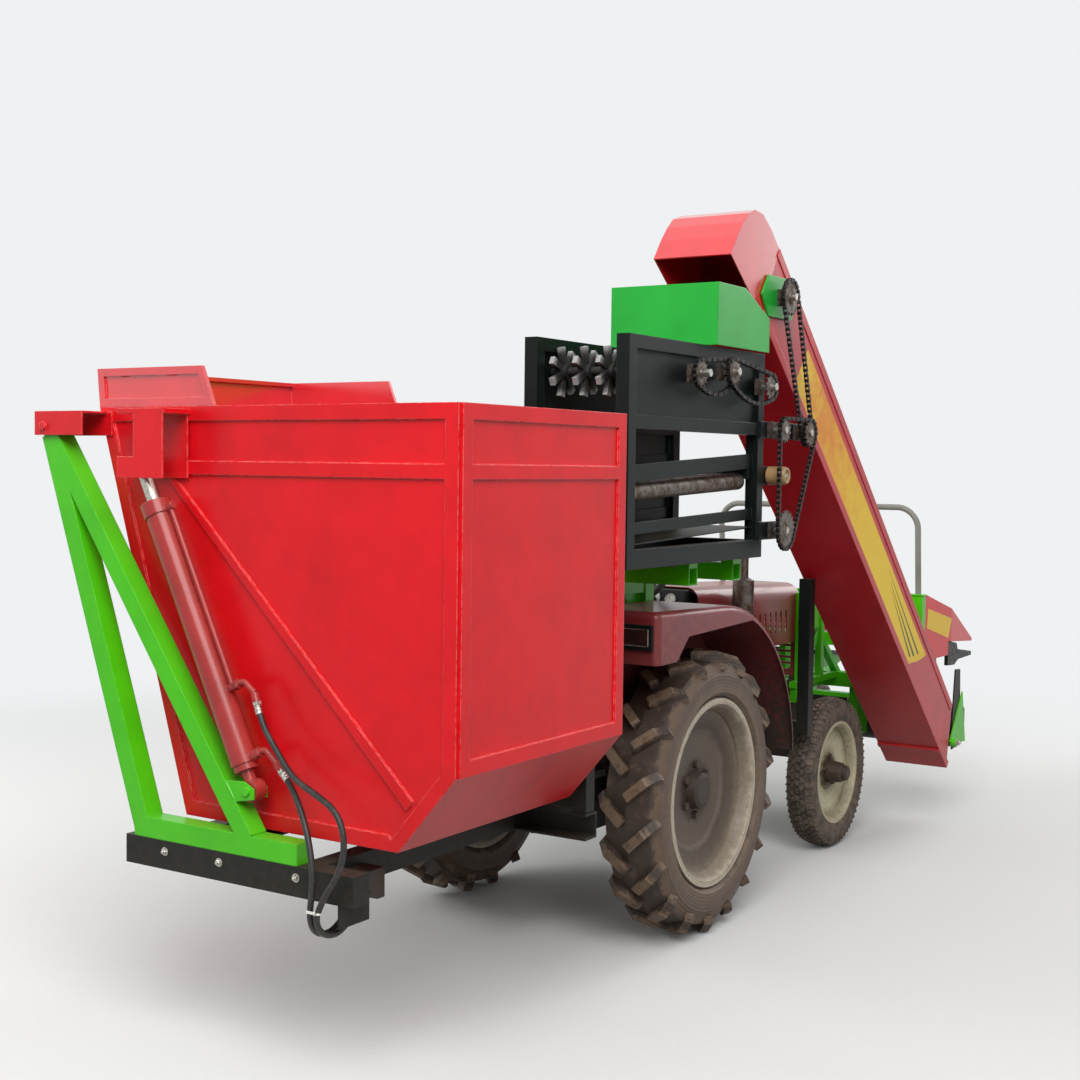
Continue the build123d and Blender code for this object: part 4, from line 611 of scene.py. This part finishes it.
def front_tyre_mesh(side):
    """The carcass and blocks of one front tyre."""
    mesh = bmesh.new()
    x, y, z = FRONT_WHEEL_AXLE
    placement = standing((side * x, y, z), (side, 0, 0))
    other_half = [(-offset, radius) for offset, radius in reversed(HALF_CARCASS)]
    lathe(mesh, placement, HALF_CARCASS + [(0, 315)] + other_half, 96, closed=True)
    block_step = 2 * math.pi / BLOCKS_ROUND
    for offset, width, slant, shift in TREAD_ROWS:
        skew = math.tan(math.radians(slant)) * width / 2 / TREAD_RADIUS
        for n in range(BLOCKS_ROUND):
            low, high = [], []
            for across, along in ((-1, -1), (1, -1), (1, 1), (-1, 1)):
                shoulder = offset + across * width / 2
                turn = along * block_step * HALF_BLOCK + across * skew
                for ring, depth, pull in ((low, BLOCK_DEPTH, 1.0), (high, 0, TOP_SHARE)):
                    ring.append(mesh.verts.new(round_spot(placement, crown_height(shoulder) - depth,
                                                          block_step * (n + shift) + turn * pull, shoulder)))
            mesh.faces.new(high)
            wall(mesh, low, high)
    for edge_side in (-1, 1):
        for n in range(BLOCKS_ROUND):
            rib = [round_spot(placement, radius, block_step * (n + 0.5), edge_side * out)
                   for radius, out in SHOULDER_RIB]
            sweep(mesh, rib, [4.2, 3.4, 0.8], 5)
    return mesh


for side, side_name in ((1, "right"), (-1, "left")):
    tyre = add_piece(f"front_road_tyre_{side_name}", front_tyre_mesh(side), road_rubber,
                     f"front_wheel_{side_name}")
    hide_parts(f"front_tyre_{side_name}")
print("tread blocks on each front tyre:", BLOCKS_ROUND * len(TREAD_ROWS))

# %% [markdown]
# ## Roller chains
# The drives on the right side are bare roller chains. A chain is pairs of waisted plates, alternately
# inside and outside, on rollers one pitch apart. A textured band would lose the gaps between the
# rollers, which is what makes a chain read as a chain, so every link is modelled. The path is worked
# out first: straight from wheel to wheel, round each wheel, and sagging where a strand is slack.

# %% The path of each chain
CHAIN_PITCH = 19.05
# Name: shaft's y and z, pitch radius and the x where the shaft leaves its wall, in mm.
CHAIN_WHEELS = {
    "head": (171.0, 2236.0, 60.0, 711.0), "bracket_front": (335.0, 1768.0, 46.0, 708.0),
    "bracket_rear": (112.0, 1772.0, 40.0, 708.0), "husker_drive": (134.0, 1423.0, 66.0, 708.0),
    "rear": (-483.0, 1935.0, 42.0, 700.0), "middle": (-272.0, 1951.0, 42.0, 700.0),
    "front": (20.0, 1916.0, 42.0, 700.0),
}
# Rows: wheels in order, counter-clockwise seen from the right; middle plane x; the first strand's sag in degrees.
CHAIN_RUNS = [
    (("bracket_front", "head"), 750.0, 0.0),
    (("husker_drive", "bracket_front", "bracket_rear"), 764.0, 0.0),
    (("rear", "middle"), 736.0, 30.0),
    (("middle", "front"), 750.0, 27.0),
]


def chain_path(wheel_names, sag):
    """Closely spaced (y, z) points round the wheels."""
    wheels = [CHAIN_WHEELS[name][:3] for name in wheel_names]
    nexts = wheels[1:] + wheels[:1]
    bow = math.radians(sag)
    legs = []
    for n, ((y0, z0, r0), (y1, z1, r1)) in enumerate(zip(wheels, nexts)):
        outward = math.atan2(z1 - z0, y1 - y0) - math.acos((r0 - r1) / math.hypot(y1 - y0, z1 - z0))
        tilt = bow if n == 0 else 0.0
        legs.append((outward - tilt, outward, outward + tilt))
    points = []
    for n, (leave, outward, arrive) in enumerate(legs):
        came = legs[n - 1][2]
        wrap = (leave - came) % (2 * math.pi)
        points += [on_circle(*wheels[n], came + wrap * k / 24) for k in range(24)]
        start, end = Vector(on_circle(*wheels[n], leave)), Vector(on_circle(*nexts[n], arrive))
        depth = (end - start).length / 2 * math.tan(bow / 2) if n == 0 else 0.0
        hang = Vector((math.cos(outward), math.sin(outward))) * depth * 4
        for share in (k / 40 for k in range(40)):
            points.append(tuple(start.lerp(end, share) + hang * share * (1 - share)))
    return points


def evenly(points, pitch):
    """Points one pitch apart round a closed path, the pitch eased so that it closes."""
    lengths = [0.0]
    closed = points + points[:1]
    for (y0, z0), (y1, z1) in zip(closed, closed[1:]):
        lengths.append(lengths[-1] + math.hypot(y1 - y0, z1 - z0))
    count = round(lengths[-1] / pitch / 2) * 2
    spaced = []
    place = 0
    for n in range(count):
        wanted = lengths[-1] * n / count
        while lengths[place + 1] < wanted:
            place += 1
        share = (wanted - lengths[place]) / (lengths[place + 1] - lengths[place])
        (y0, z0), (y1, z1) = closed[place], closed[place + 1]
        spaced.append((y0 + (y1 - y0) * share, z0 + (z1 - z0) * share))
    return spaced


for names, plane, sag in CHAIN_RUNS:
    print("chain round", names, "pins", len(evenly(chain_path(names, sag), CHAIN_PITCH)))

# %% Links, rollers and pins
LINK_THICKNESS = 1.4
# Half the gap between a link's plates and half a plate's height, mm.
INNER_LINK, OUTER_LINK = (4.4, 7.6), (6.4, 7.0)
# Rows of (height, radius) in mm, and the number of sides.
ROLLER = ([(0, 5.9), (8.8, 5.9)], 10)
PIN = ([(0, 2.4), (0.6, 2.9), (15.0, 2.9), (15.6, 2.4)], 6)


def link_plate(mesh, x, first, second, half_height):
    """One waisted side plate between two pins."""
    a, b = Vector(first), Vector(second)
    along = (b - a).normalized()
    across = Vector((-along.y, along.x))
    outline = []
    for middle, sign in ((b, 1), (a, -1)):
        for angle in map(math.radians, (-90, -45, 0, 45, 90)):
            outline.append(middle + (along * math.cos(angle) + across * math.sin(angle)) * sign * half_height)
        outline.append((a + b) / 2 + across * sign * half_height * 0.68)
    plate(mesh, x, outline, LINK_THICKNESS)


chain_links = bmesh.new()
for names, plane, sag in CHAIN_RUNS:
    pins = evenly(chain_path(names, sag), CHAIN_PITCH)
    for n, (y, z) in enumerate(pins):
        apart, half_height = OUTER_LINK if n % 2 else INNER_LINK
        for side in (-1, 1):
            link_plate(chain_links, plane + side * apart - LINK_THICKNESS / 2, (y, z), pins[(n + 1) % len(pins)],
                       half_height)
        for profile, sides in (ROLLER, PIN):
            lathe(chain_links, standing((plane - profile[-1][0] / 2, y, z), RIGHTWARDS), profile, sides)
print("chain faces:", len(chain_links.faces))
roller_chains = add_piece("roller_chains", chain_links, chain_steel, smooth=False)

# %% [markdown]
# ## Sprockets, bearings and the idler
# Each sprocket is a plate with a tooth for every link, a hub beside it and a shaft end. Behind it a cast
# flange bearing on four bolts holds the shaft. The idler is a plain turned bush on a bolt, painted tan,
# that keeps the long chain off the frame.

# %% Sprockets on their shafts
SPROCKET_THICKNESS = 6.0
# One tooth: share of its step and mm proud of the pitch circle.
TOOTH = [(0.0, -5.5), (0.22, -4.0), (0.38, 3.5), (0.5, 5.0), (0.62, 3.5), (0.78, -4.0)]
# Raised ring and hub: height in mm and share of the pitch radius.
SPROCKET_HUB = [(0, 0.42), (7, 0.42), (8, 0.78), (14, 0.78), (15, 0.42), (18.5, 0.38)]
HUB_SET_BACK = 11
SHAFT_TIP_X = 772.0
IDLER_Y, IDLER_Z = 125, 1613


def sprocket_mesh(mesh, x, y, z, radius):
    """A toothed plate between a raised ring and a hub."""
    teeth = round(2 * math.pi * radius / CHAIN_PITCH)
    outline = [on_circle(y, z, radius + proud, 2 * math.pi * (n + share) / teeth)
               for n in range(teeth) for share, proud in TOOTH]
    plate(mesh, x - SPROCKET_THICKNESS / 2, outline, SPROCKET_THICKNESS)
    lathe(mesh, standing((x - HUB_SET_BACK, y, z), RIGHTWARDS),
          [(height, radius * part) for height, part in SPROCKET_HUB], 28)


sprockets, shaft_ends, bearings = bmesh.new(), bmesh.new(), bmesh.new()
for name, (y, z, radius, wall_x) in CHAIN_WHEELS.items():
    for names, plane, sag in CHAIN_RUNS:
        if name in names:
            sprocket_mesh(sprockets, plane, y, z, radius)
    reach = SHAFT_TIP_X - wall_x
    lathe(shaft_ends, standing((wall_x, y, z), RIGHTWARDS), [(0, 12.5), (reach - 1.5, 12.5), (reach, 11)], 20)
    flange = standing((wall_x, y, z), RIGHTWARDS, 45)
    lathe(bearings, flange, [(0, 38), (6, 38), (8, 36)], 4)
    lathe(bearings, flange, [(0, 30), (8, 30), (14, 25), (16, 19), (18, 18)], 28)
    for turn in (0, 90, 180, 270):
        hex_bolt(bearings, (wall_x + 6, *on_circle(y, z, 26, math.radians(turn + 45))), RIGHTWARDS, 10, turn)
sprocket_set = add_piece("drive_sprockets", sprockets, worn_steel)
add_piece("drive_shaft_ends", shaft_ends, bright_steel)
add_piece("flange_bearings", bearings, cast_iron)

idler, idler_pin = bmesh.new(), bmesh.new()
lathe(idler, standing((698, IDLER_Y, IDLER_Z), RIGHTWARDS),
      [(0, 13), (0, 28), (3, 32), (62, 32), (66, 30), (72, 27), (72, 20), (68, 18), (66, 13)], 36)
hex_bolt(idler_pin, (757, IDLER_Y, IDLER_Z), RIGHTWARDS, 15)
add_piece("idler_bush", idler, bush_paint)
add_piece("idler_bolt", idler_pin, bright_steel, smooth=False)
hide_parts("chain_drive")
print("sprocket faces:", len(sprocket_set.data.polygons))

# %% [markdown]
# ## The painted banner on the elevator
# The elevator's side carries a printed vinyl strip: yellow with an orange cloud in its upper half, with
# a thin orange-red edge, a few long tapered stripes and a curved band at its lower end. Print is a flat
# colour on the sheet, so it is a thin skin on the casing with its colours mixed by the distance down
# the slope, which the object coordinates give. It carries no words.

# %% The banner's skin and its stripes
ELEVATOR_DOWN = Vector((0.747, -0.665))
ELEVATOR_ACROSS = Vector((0.665, 0.747))
ELEVATOR_HEEL = Vector((35.0, 2160.0))
ELEVATOR_WALL_X = 700


def on_elevator(along, across):
    """The (y, z) point on the elevator's side: mm down the slope and mm up from its lower edge."""
    return ELEVATOR_HEEL + ELEVATOR_DOWN * along + ELEVATOR_ACROSS * across


def plain_vinyl(name, colour, other):
    """Printed vinyl of one colour with a faint streak."""
    m = new_material(name)
    return m.shaded(m.mixed(m.noise(30.0, 4.0), colour, other), 0.36, None, Specular_IOR_Level=0.2)


yellow_vinyl = plain_vinyl("printed_vinyl_clear_yellow", "#f5ce1e", "#ebbb1a")
orange_vinyl = plain_vinyl("printed_vinyl_orange_red", "#e0562a", "#d44a26")
dark_vinyl = plain_vinyl("printed_vinyl_dark_green", "#3b4a1e", "#4f5a2a")

m = new_material("printed_vinyl_yellow_with_orange_cloud")
head, foot = (at(ELEVATOR_WALL_X, *on_elevator(along, 100)) for along in (365, 2100))
down = foot - head
from_head = m.vectors("DOT_PRODUCT", m.vectors("SUBTRACT", m.place, head), down / down.length_squared, output="Value")
cloudy_vinyl = m.shaded(m.ramped(m.maths("MULTIPLY_ADD", m.noise(16.0, 6.0, 0.65), 0.55, from_head), [
    (0.24, "#efca22"), (0.34, "#eab020"), (0.44, "#e58a18"), (0.56, "#eca81c"), (0.7, "#f1c21e"),
    (0.917, "#f4cc1c")]), 0.35, None, Specular_IOR_Level=0.2)

# Outlines are (mm down the slope, mm up from the lower edge).
BANNER_OUTLINE = [(365, 30), (1400, 22), (2062, 8), (2110, 60), (2165, 105), (2215, 160), (2247, 203), (1900, 203),
                  (1400, 206), (365, 214)]
EDGE_LINES = [[(a0, w0), (a1, w1), (a1, w1 + 5), (a0, w0 + 5)] for a0, w0, a1, w1 in (
    (365, 30, 1400, 22), (1400, 22, 2062, 8), (365, 209, 1400, 201), (1400, 201, 2247, 198))]
STRIPES = [[(a0, w0), (a1, w1 - base / 2), (a1 + 10, w1 + base / 2)] for a0, w0, a1, w1, base in (
    (1690, 128, 2085, 66, 13), (1640, 150, 2110, 100, 15), (1600, 172, 2150, 140, 13))]
FOOT_BAND = [(2020, 14), (2072, 62), (2122, 105), (2170, 152), (2196, 198), (2238, 200), (2206, 158), (2156, 104),
             (2104, 60), (2055, 10)]
# Rows: name, finish, mm proud of the wall, mm thick, outlines.
for name, finish, proud, thickness, outlines in (
        ("banner_skin", cloudy_vinyl, 0.2, 0.8, [BANNER_OUTLINE]),
        ("banner_edge_lines", orange_vinyl, 0.9, 0.5, EDGE_LINES),
        ("banner_stripes", dark_vinyl, 0.9, 0.5, STRIPES),
        ("banner_foot_band", yellow_vinyl, 1.2, 0.5, [FOOT_BAND])):
    printed = bmesh.new()
    for outline in outlines:
        plate(printed, ELEVATOR_WALL_X + proud, [on_elevator(*spot) for spot in outline], thickness)
    add_piece(name, printed, finish, smooth=False)

LABEL = [(2326, 886), (2338, 979), (2700, 905), (2651, 811)]
label = bmesh.new()
plate(label, 540.3, LABEL, 0.8)
add_piece("divider_label", label, yellow_vinyl, "header", smooth=False)

# %% [markdown]
# ## Seat
# The driver's seat is foam under worn vinyl: a crowned cushion and a backrest, each with sewn channels
# and a welted edge. A block with rounded edges has none of that, so each pad is a grid that swells
# from its edge seam, with a groove at each row of stitches and a cord of welt round the seam.

# %% Pads with sewn channels
m = new_material("worn_grained_vinyl")
grained = m.add("TexVoronoi", {"Vector": m.place, "Scale": 420.0}, "Distance")
seat_vinyl = m.shaded(m.mixed(m.ranged(m.noise(14.0, 7.0), 0.42, 0.66), "#8c8171", "#5c5044"), 0.48,
                      m.bumped(grained, 0.4, 0.0006))
welt_vinyl = rubber("dark_welt_vinyl", "#2b2622", "#5b5044", 0.1, rough=0.5)
CHANNELS = (-0.6, -0.2, 0.2, 0.6)
PAD_STEPS = 44


def pad(name, middle, wide, long, crown, base, upright):
    """A crowned pad: half sizes in mm, crown above and base below its seam, channels across `wide`."""
    mesh = bmesh.new()
    steps = range(PAD_STEPS)
    rows = {}

    def share(step):
        return -1 + 2 * step / PAD_STEPS

    def spot(u, v, lift):
        pull = 1 - 0.035 * (1 - u * u) if abs(v) == 1 else 1.0
        narrow = 1 - 0.03 * (1 - v * v) - 0.05 * v ** 8
        local = Vector((u * wide * narrow, v * long * (1 - 0.05 * u ** 8) * pull, lift))
        if upright:
            local = Vector((local.x, -local.z, local.y))
        return at(*(Vector(middle) + local))

    for side_name, height in (("top", crown), ("under", -base)):
        for i in range(PAD_STEPS + 1):
            for j in range(PAD_STEPS + 1):
                u, v = share(i), share(j)
                swell = ((1 - u ** 6) * (1 - v ** 6)) ** 0.45
                groove = sum(math.exp(-((u - row) / 0.035) ** 2) for row in CHANNELS) * (side_name == "top")
                lift = height * swell * (1 - 0.24 * groove) * (1 - 0.10 * (u * u + v * v) / 2)
                on_edge = i in (0, PAD_STEPS) or j in (0, PAD_STEPS)
                key = (i, j, "seam" if on_edge else side_name)
                if key not in rows:
                    rows[key] = mesh.verts.new(spot(u, v, 0 if on_edge else lift))
        for i in steps:
            for j in steps:
                mesh.faces.new([rows.get((a, b, "seam")) or rows[(a, b, side_name)]
                                for a, b in ((i, j), (i + 1, j), (i + 1, j + 1), (i, j + 1))])
    made = add_piece(name, mesh, seat_vinyl)
    seam = [(n, 0) for n in steps] + [(PAD_STEPS, n) for n in steps]
    seam += [(PAD_STEPS - i, PAD_STEPS - j) for i, j in seam]
    places = [spot(share(i), share(j), 0) for i, j in seam]
    places = [place + (at(*middle) - place) * 0.012 for place in places]
    welt = bmesh.new()
    sweep(welt, places + places[:1], 3.2, 6)
    add_piece(name + "_welt", welt, welt_vinyl)
    return made


cushion = pad("seat_cushion", (0, -135, 1008), 203, 192, 30, 22, False)
backrest = pad("seat_backrest", (0, -358, 1123), 198, 110, 24, 24, True)
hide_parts("seat")
print("pad faces:", len(cushion.data.polygons), len(backrest.data.polygons))

# %% [markdown]
# ## Welds
# The sheets are stitched to their frames with short beads, and the tubes are welded all round. A bead
# painted over with the rest shows only as a ripple that catches light, so it needs real shape. The
# places come from the fixed pieces themselves: every inside corner between two flat faces is where a
# welder would put one.

# %% Beads along the inside corners
# Rows: body, finish, slot, then each node with its leg in mm.
WELDED = [
    ("bin", red_enamel, "bin_red", {"bin_end_rear": 3.4, "bin_end_front": 3.4, "bin_shell": 3.4, "bin_lip": 3.0,
                                    "bin_arms": 3.6}),
    ("root", green_enamel, "frame_green", {"tipping_stands": 4.2}),
    ("root", black_enamel, "black_green", {"base_frame": 4.2, "husker_frame": 3.2}),
    ("root", green_enamel, "frame_green", {"husker_subframe": 4.0, "front_carrier": 4.0}),
    ("header", green_enamel, "frame_green", {"header_frame": 3.6}),
]
# Lengths in metres, but the ripple's in mm.
SHORTEST_SEAM, WHOLE_SEAM, STITCH_STEP, HALF_STITCH = 0.03, 0.16, 0.17, (0.017, 0.024)
RIPPLE_LENGTH = 6.5
BARE_END = 0.06


def bead(mesh, start, end, leg):
    """A rippled bead between two points in metres."""
    steps = max(3, round((end - start).length * 1000 / RIPPLE_LENGTH))
    radii = [leg * (0.8 + 0.22 * (n % 2)) * chance.uniform(0.9, 1.08) for n in range(steps + 1)]
    radii[0] = radii[-1] = leg * 0.3
    sweep(mesh, [start.lerp(end, n / steps) for n in range(steps + 1)], radii, 5)


def inside_corners(node_name):
    """Start and end of each inside corner of a node, in metres."""
    copy = bmesh.new()
    copy.from_mesh(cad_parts[node_name].data)
    bmesh.ops.remove_doubles(copy, verts=copy.verts, dist=0.00005)
    bmesh.ops.dissolve_limit(copy, angle_limit=0.01, verts=copy.verts, edges=copy.edges)
    found = [(edge.verts[0].co.copy(), edge.verts[1].co.copy()) for edge in copy.edges
             if len(edge.link_faces) == 2 and edge.calc_face_angle_signed(0.0) < -0.6]
    copy.free()
    return found


def weld_node(mesh, node_name, leg):
    """Short seams welded from end to end, long ones in stitches."""
    for start, end in inside_corners(node_name):
        length = (end - start).length
        if length < SHORTEST_SEAM:
            continue
        if length < WHOLE_SEAM:
            bead(mesh, start.lerp(end, BARE_END), start.lerp(end, 1 - BARE_END), leg)
            continue
        count = max(2, round(length / STITCH_STEP))
        for n in range(count):
            middle = (n + 0.5 + chance.uniform(-0.12, 0.12)) / count
            half = chance.uniform(*HALF_STITCH) / length
            bead(mesh, start.lerp(end, middle - half), start.lerp(end, middle + half), leg)


for body, finish, slot, legs in WELDED:
    for node_name, leg in legs.items():
        welds = bmesh.new()
        weld_node(welds, node_name, leg)
        if welds.verts:
            seam = add_piece(node_name + "_welds", welds, finish, body)
            print(node_name, "weld faces:", len(seam.data.polygons))
        else:
            welds.free()

# %% [markdown]
# ## Fittings, bolts and small parts
# The things a hand touches or a spanner fits: crimped hose ends, the tie round the hoses, bolts, lamp
# lenses, gauges, levers, the grip on the footplates and the fins of the radiator. None is large, but a
# machine without them reads as a toy.

# %% Hose ends and the tie
CRIMPED_SLEEVE = [(10, 9.6), (11, 10.6), (15, 10.6), (16, 9.9), (19, 9.9), (20, 10.6), (24, 10.6), (25, 9.9),
                  (28, 9.9), (29, 10.6), (33, 10.6), (34, 9.4)]
fittings = bmesh.new()
for route in (UPPER_ROUTE, LOWER_ROUTE):
    for here, after in ((route[0], route[1]), (route[-1], route[-2])):
        placement = standing(here, Vector(after) - Vector(here))
        lathe(fittings, placement, [(-3, 10.5), (0, 12.5), (9, 12.5), (10, 10.5)], 6)
        lathe(fittings, placement, CRIMPED_SLEEVE, 20)
add_piece("hose_end_fittings", fittings, bright_steel)

nylon = rubber("white_nylon_tie", "#ece9e0", "#c9c2b2", 0.1, rough=0.4)
TIE_RADIUS = 9.6
TIE_REARMOST_Y = -1878.8
tie = bmesh.new()
tie_line = []
for centre_x, first_turn in ((366, -90), (341, 90)):
    for angle in (math.radians(first_turn + turn) for turn in range(0, 181, 20)):
        tie_line.append((centre_x + TIE_RADIUS * math.cos(angle),
                         max(-1872 + TIE_RADIUS * math.sin(angle), TIE_REARMOST_Y)))
for level in (478.0, 480.5, 483.0):
    ring_points = [at(px, py, level) for px, py in tie_line]
    sweep(tie, ring_points + ring_points[:1], 1.4, 6)
flat_form(tie, [at(x, -1863, z) for x, z in ((350, 474), (360, 474), (360, 486), (350, 486))], Vector((0, 0.006, 0)))
add_piece("hose_tie", tie, nylon)
print("hose fittings: 4, tie: 1")

# %% Bolts
# Rows: place (mm), direction it faces, width across flats (mm), body.
BOLTS = [
    ((-232, -1826, 545), (0, -1, 0), 15, "root"), ((-25, -1826, 545), (0, -1, 0), 15, "root"),
    ((252, -1826, 545), (0, -1, 0), 15, "root"), ((-432, -1743, 1621), (0, -1, 0), 26, "bin"),
    ((-432, -882, 1621), (0, 1, 0), 26, "bin"), ((722, 2252, 366), RIGHTWARDS, 22, "header"),
]
for number, (place, facing, across, body) in enumerate(BOLTS):
    single = bmesh.new()
    hex_bolt(single, place, facing, across, turn=17 * number)
    add_piece(f"bolt_{number + 1}", single, bright_steel, body, smooth=False)
print("bolts:", len(BOLTS))

# %% Lamp lenses
m = new_material("smoked_acrylic_lens")
ribs = m.add("TexWave", {"Vector": m.place, "Scale": 60.0, "Distortion": 0.4}, "Fac", bands_direction="Z")
smoked = m.shaded(m.mixed(ribs, "#1d1514", "#3b2422"), 0.14, m.bumped(ribs, 0.5, 0.001), IOR=1.49, Coat_Weight=0.6,
                  Coat_Roughness=0.05)
m = new_material("ribbed_headlamp_glass")
ribs = m.add("TexWave", {"Vector": m.place, "Scale": 34.0, "Distortion": 0.2}, "Fac", bands_direction="X")
clear_glass = m.shaded(linear("#dfe6e6"), 0.06, m.bumped(ribs, 0.7, 0.0015), Transmission_Weight=0.6, IOR=1.5)
LENS_COLUMNS, LENS_ROWS = 14, 8

for side, side_name in ((1, "right"), (-1, "left")):
    lens, trim, headlamp = bmesh.new(), bmesh.new(), bmesh.new()
    grid = {}
    for i in range(LENS_COLUMNS + 1):
        for j in range(LENS_ROWS + 1):
            u, v = -1 + 2 * i / LENS_COLUMNS, -1 + 2 * j / LENS_ROWS
            grid[i, j] = lens.verts.new(at(side * (533 + 58.5 * u), -530.5 - 4.5 * (1 - u ** 6) * (1 - v ** 6),
                                           1090 + 28.5 * v))
    for i in range(LENS_COLUMNS):
        for j in range(LENS_ROWS):
            lens.faces.new((grid[i, j], grid[i + 1, j], grid[i + 1, j + 1], grid[i, j + 1]))
    add_piece(f"tail_lens_{side_name}", lens, smoked)
    outline = [at(side * x, -535.2, z) for x, z in ((476, 1063), (590, 1063), (590, 1117), (476, 1117))]
    for first, second in zip(outline, outline[1:] + outline[:1]):
        short_bar(trim, first, second, 1.8, 8)
    add_piece(f"tail_lamp_trim_{side_name}", trim, bright_steel)
    lathe(headlamp, standing((side * 92, 1655, 1035), (0, 1, 0)), [(0, 49), (3, 47), (6, 38), (8, 24), (9.5, 8)], 40)
    add_piece(f"headlamp_glass_{side_name}", headlamp, clear_glass)
print("lenses: 4")

# %% Gauges on the dash and levers beside the seat
dial_paint = rubber("white_dial_card", "#e9e6dc", "#d2ccbb", 0.05, rough=0.3)
bezels, dials, needles = bmesh.new(), bmesh.new(), bmesh.new()
PANEL_FACING = Vector((0, -0.901, 0.433))
QUARTER_TURN = math.pi / 2
for gauge_x, radius in ((-82, 24), (0, 36), (82, 24)):
    placement = standing((gauge_x, 578, 1112.5), PANEL_FACING)
    lathe(bezels, placement, [(-2, radius), (5, radius), (7, radius - 1.5), (7, radius - 4), (3, radius - 4.5)], 36)
    lathe(dials, placement, [(2, radius - 4), (3.6, radius - 4)], 32)
    for tick in range(11):
        angle = QUARTER_TURN - math.radians(-120 + 24 * tick)
        short_bar(needles, *(round_spot(placement, r, angle, 4.0) for r in (radius - 9, radius - 6)), 0.6, 4)
    tip = placement @ (Vector((-(radius - 10) * 0.6, (radius - 10) * 0.8, 4.6)) / 1000)
    short_bar(needles, round_spot(placement, 0, 0, 4.6), tip, [1.4, 0.9, 0.4], 6)
add_piece("gauge_bezels", bezels, bright_steel)
add_piece("gauge_dials", dials, dial_paint, smooth=False)
add_piece("gauge_needles", needles, star_rubber, smooth=False)

levers, knobs = bmesh.new(), bmesh.new()
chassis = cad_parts["tractor_chassis"]
# Rows: foot x and y, knob x, y and z, knob radius.
LEVERS = [(60, 210, 105, 165, 860, 17), (-55, 230, -95, 190, 840, 15), (95, 300, 150, 260, 760, 13)]
for foot_x, foot_y, top_x, top_y, top_z, knob_r in LEVERS:
    hit, spot, _, _ = chassis.ray_cast(at(foot_x, foot_y, 1400), DOWNWARDS)
    if not hit:
        continue
    top = at(top_x, top_y, top_z)
    low = spot - Vector((0, 0, 0.01))
    bend = low.lerp(top, 0.55) + Vector((0, -0.012, 0.05))
    line = [low, low.lerp(bend, 0.5) + Vector((0, 0, 0.015)), bend, bend.lerp(top, 0.5), top]
    sweep(levers, line, [8, 7.5, 7, 6, 5.5], 12)
    lathe(levers, standing((foot_x, foot_y, spot.z * 1000), (0, 0, 1)),
          [(-3, 26), (4, 26), (10, 20), (18, 12), (26, 9)], 24)
    ball = [(-knob_r * 0.95, knob_r * 0.45)]
    ball += [(knob_r * math.sin(a), knob_r * math.cos(a)) for a in map(math.radians, range(-60, 81, 14))]
    lathe(knobs, Matrix.Translation(top), ball, 24)
add_piece("hand_levers", levers, black_enamel)
add_piece("lever_knobs", knobs, star_rubber)

# %% Grip pattern on the footplates and fins on the radiator
GRIP_STEP, HALF_GRIP_BAR = 0.03, 0.011
# A grip bar needs a level face this near the top of the footplates (m).
LEVEL_FACING, NEAR_TOP = 0.95, 0.012
grip = bmesh.new()
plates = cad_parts["footplates"]
plate_low, plate_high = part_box("footplates")
spans = [high - low for low, high in zip(plate_low, plate_high)]
counts = [round(span / GRIP_STEP) for span in spans]
for i in range(counts[0]):
    for j in range(counts[1]):
        above = Vector((plate_low[0] + (i + 0.5) * spans[0] / counts[0],
                        plate_low[1] + (j + 0.5) * spans[1] / counts[1], 1.0))
        angle = math.radians(45 if (i + j) % 2 else -45)
        along = Vector((math.cos(angle), math.sin(angle), 0)) * HALF_GRIP_BAR
        ends = []
        for sign in (-1, 1):
            hit, spot, facing, _ = plates.ray_cast(above + along * sign, DOWNWARDS)
            if hit and facing.z > LEVEL_FACING and spot.z > plate_high[2] - NEAR_TOP:
                ends.append(spot)
        if len(ends) == 2:
            short_bar(grip, *ends, [0.8, 2.4, 0.8], 6)
if grip.verts:
    add_piece("footplate_grip", grip, black_enamel)

FIN_COUNT, FIN_STEP = 52, 7.2
TUBE_COUNT, TUBE_STEP = 25, 12
fins = bmesh.new()
for z in (646 + n * FIN_STEP for n in range(FIN_COUNT)):
    flat_form(fins, [at(x, y, z) for x, y in ((-149, 1282), (149, 1282), (149, 1284.5), (-149, 1284.5))],
              Vector((0, 0, 0.0014)))
for x in (-144 + n * TUBE_STEP for n in range(TUBE_COUNT)):
    sweep(fins, [at(x, 1283, z) for z in (641, 830, 1019)], 2.2, 6)
add_piece("radiator_fins", fins, cast_iron, smooth=False)
print("radiator fins:", FIN_COUNT, "tubes:", TUBE_COUNT)

# %% [markdown]
# ## Side sheet of the husking bed
# Thin black sheets close the far side of the husking bed below and above the rollers, so light comes
# through the bed only at some levels; the sheets also stand in for the shade inside the bed, as painted
# shade. There is one folded sheet on each level, with its upper edge turned in.

# %% Two black sheets inside the far side
# The black sheets close the bed's far side and also serve as painted shade inside it.
for label, low_z, high_z in (("lower", 1392, 1560), ("upper", 1648, 1752)):
    sheet = bmesh.new()
    profile = [(352, low_z), (353.5, low_z), (353.5, high_z), (366, high_z + 0.5), (366, high_z + 2),
               (352, high_z + 2)]
    flat_form(sheet, [at(x, -830, z) for x, z in profile], Vector((0, 0.856, 0)))
    add_piece(f"husker_far_sheet_{label}", sheet, black_enamel, smooth=False)
print("sheets: 2")
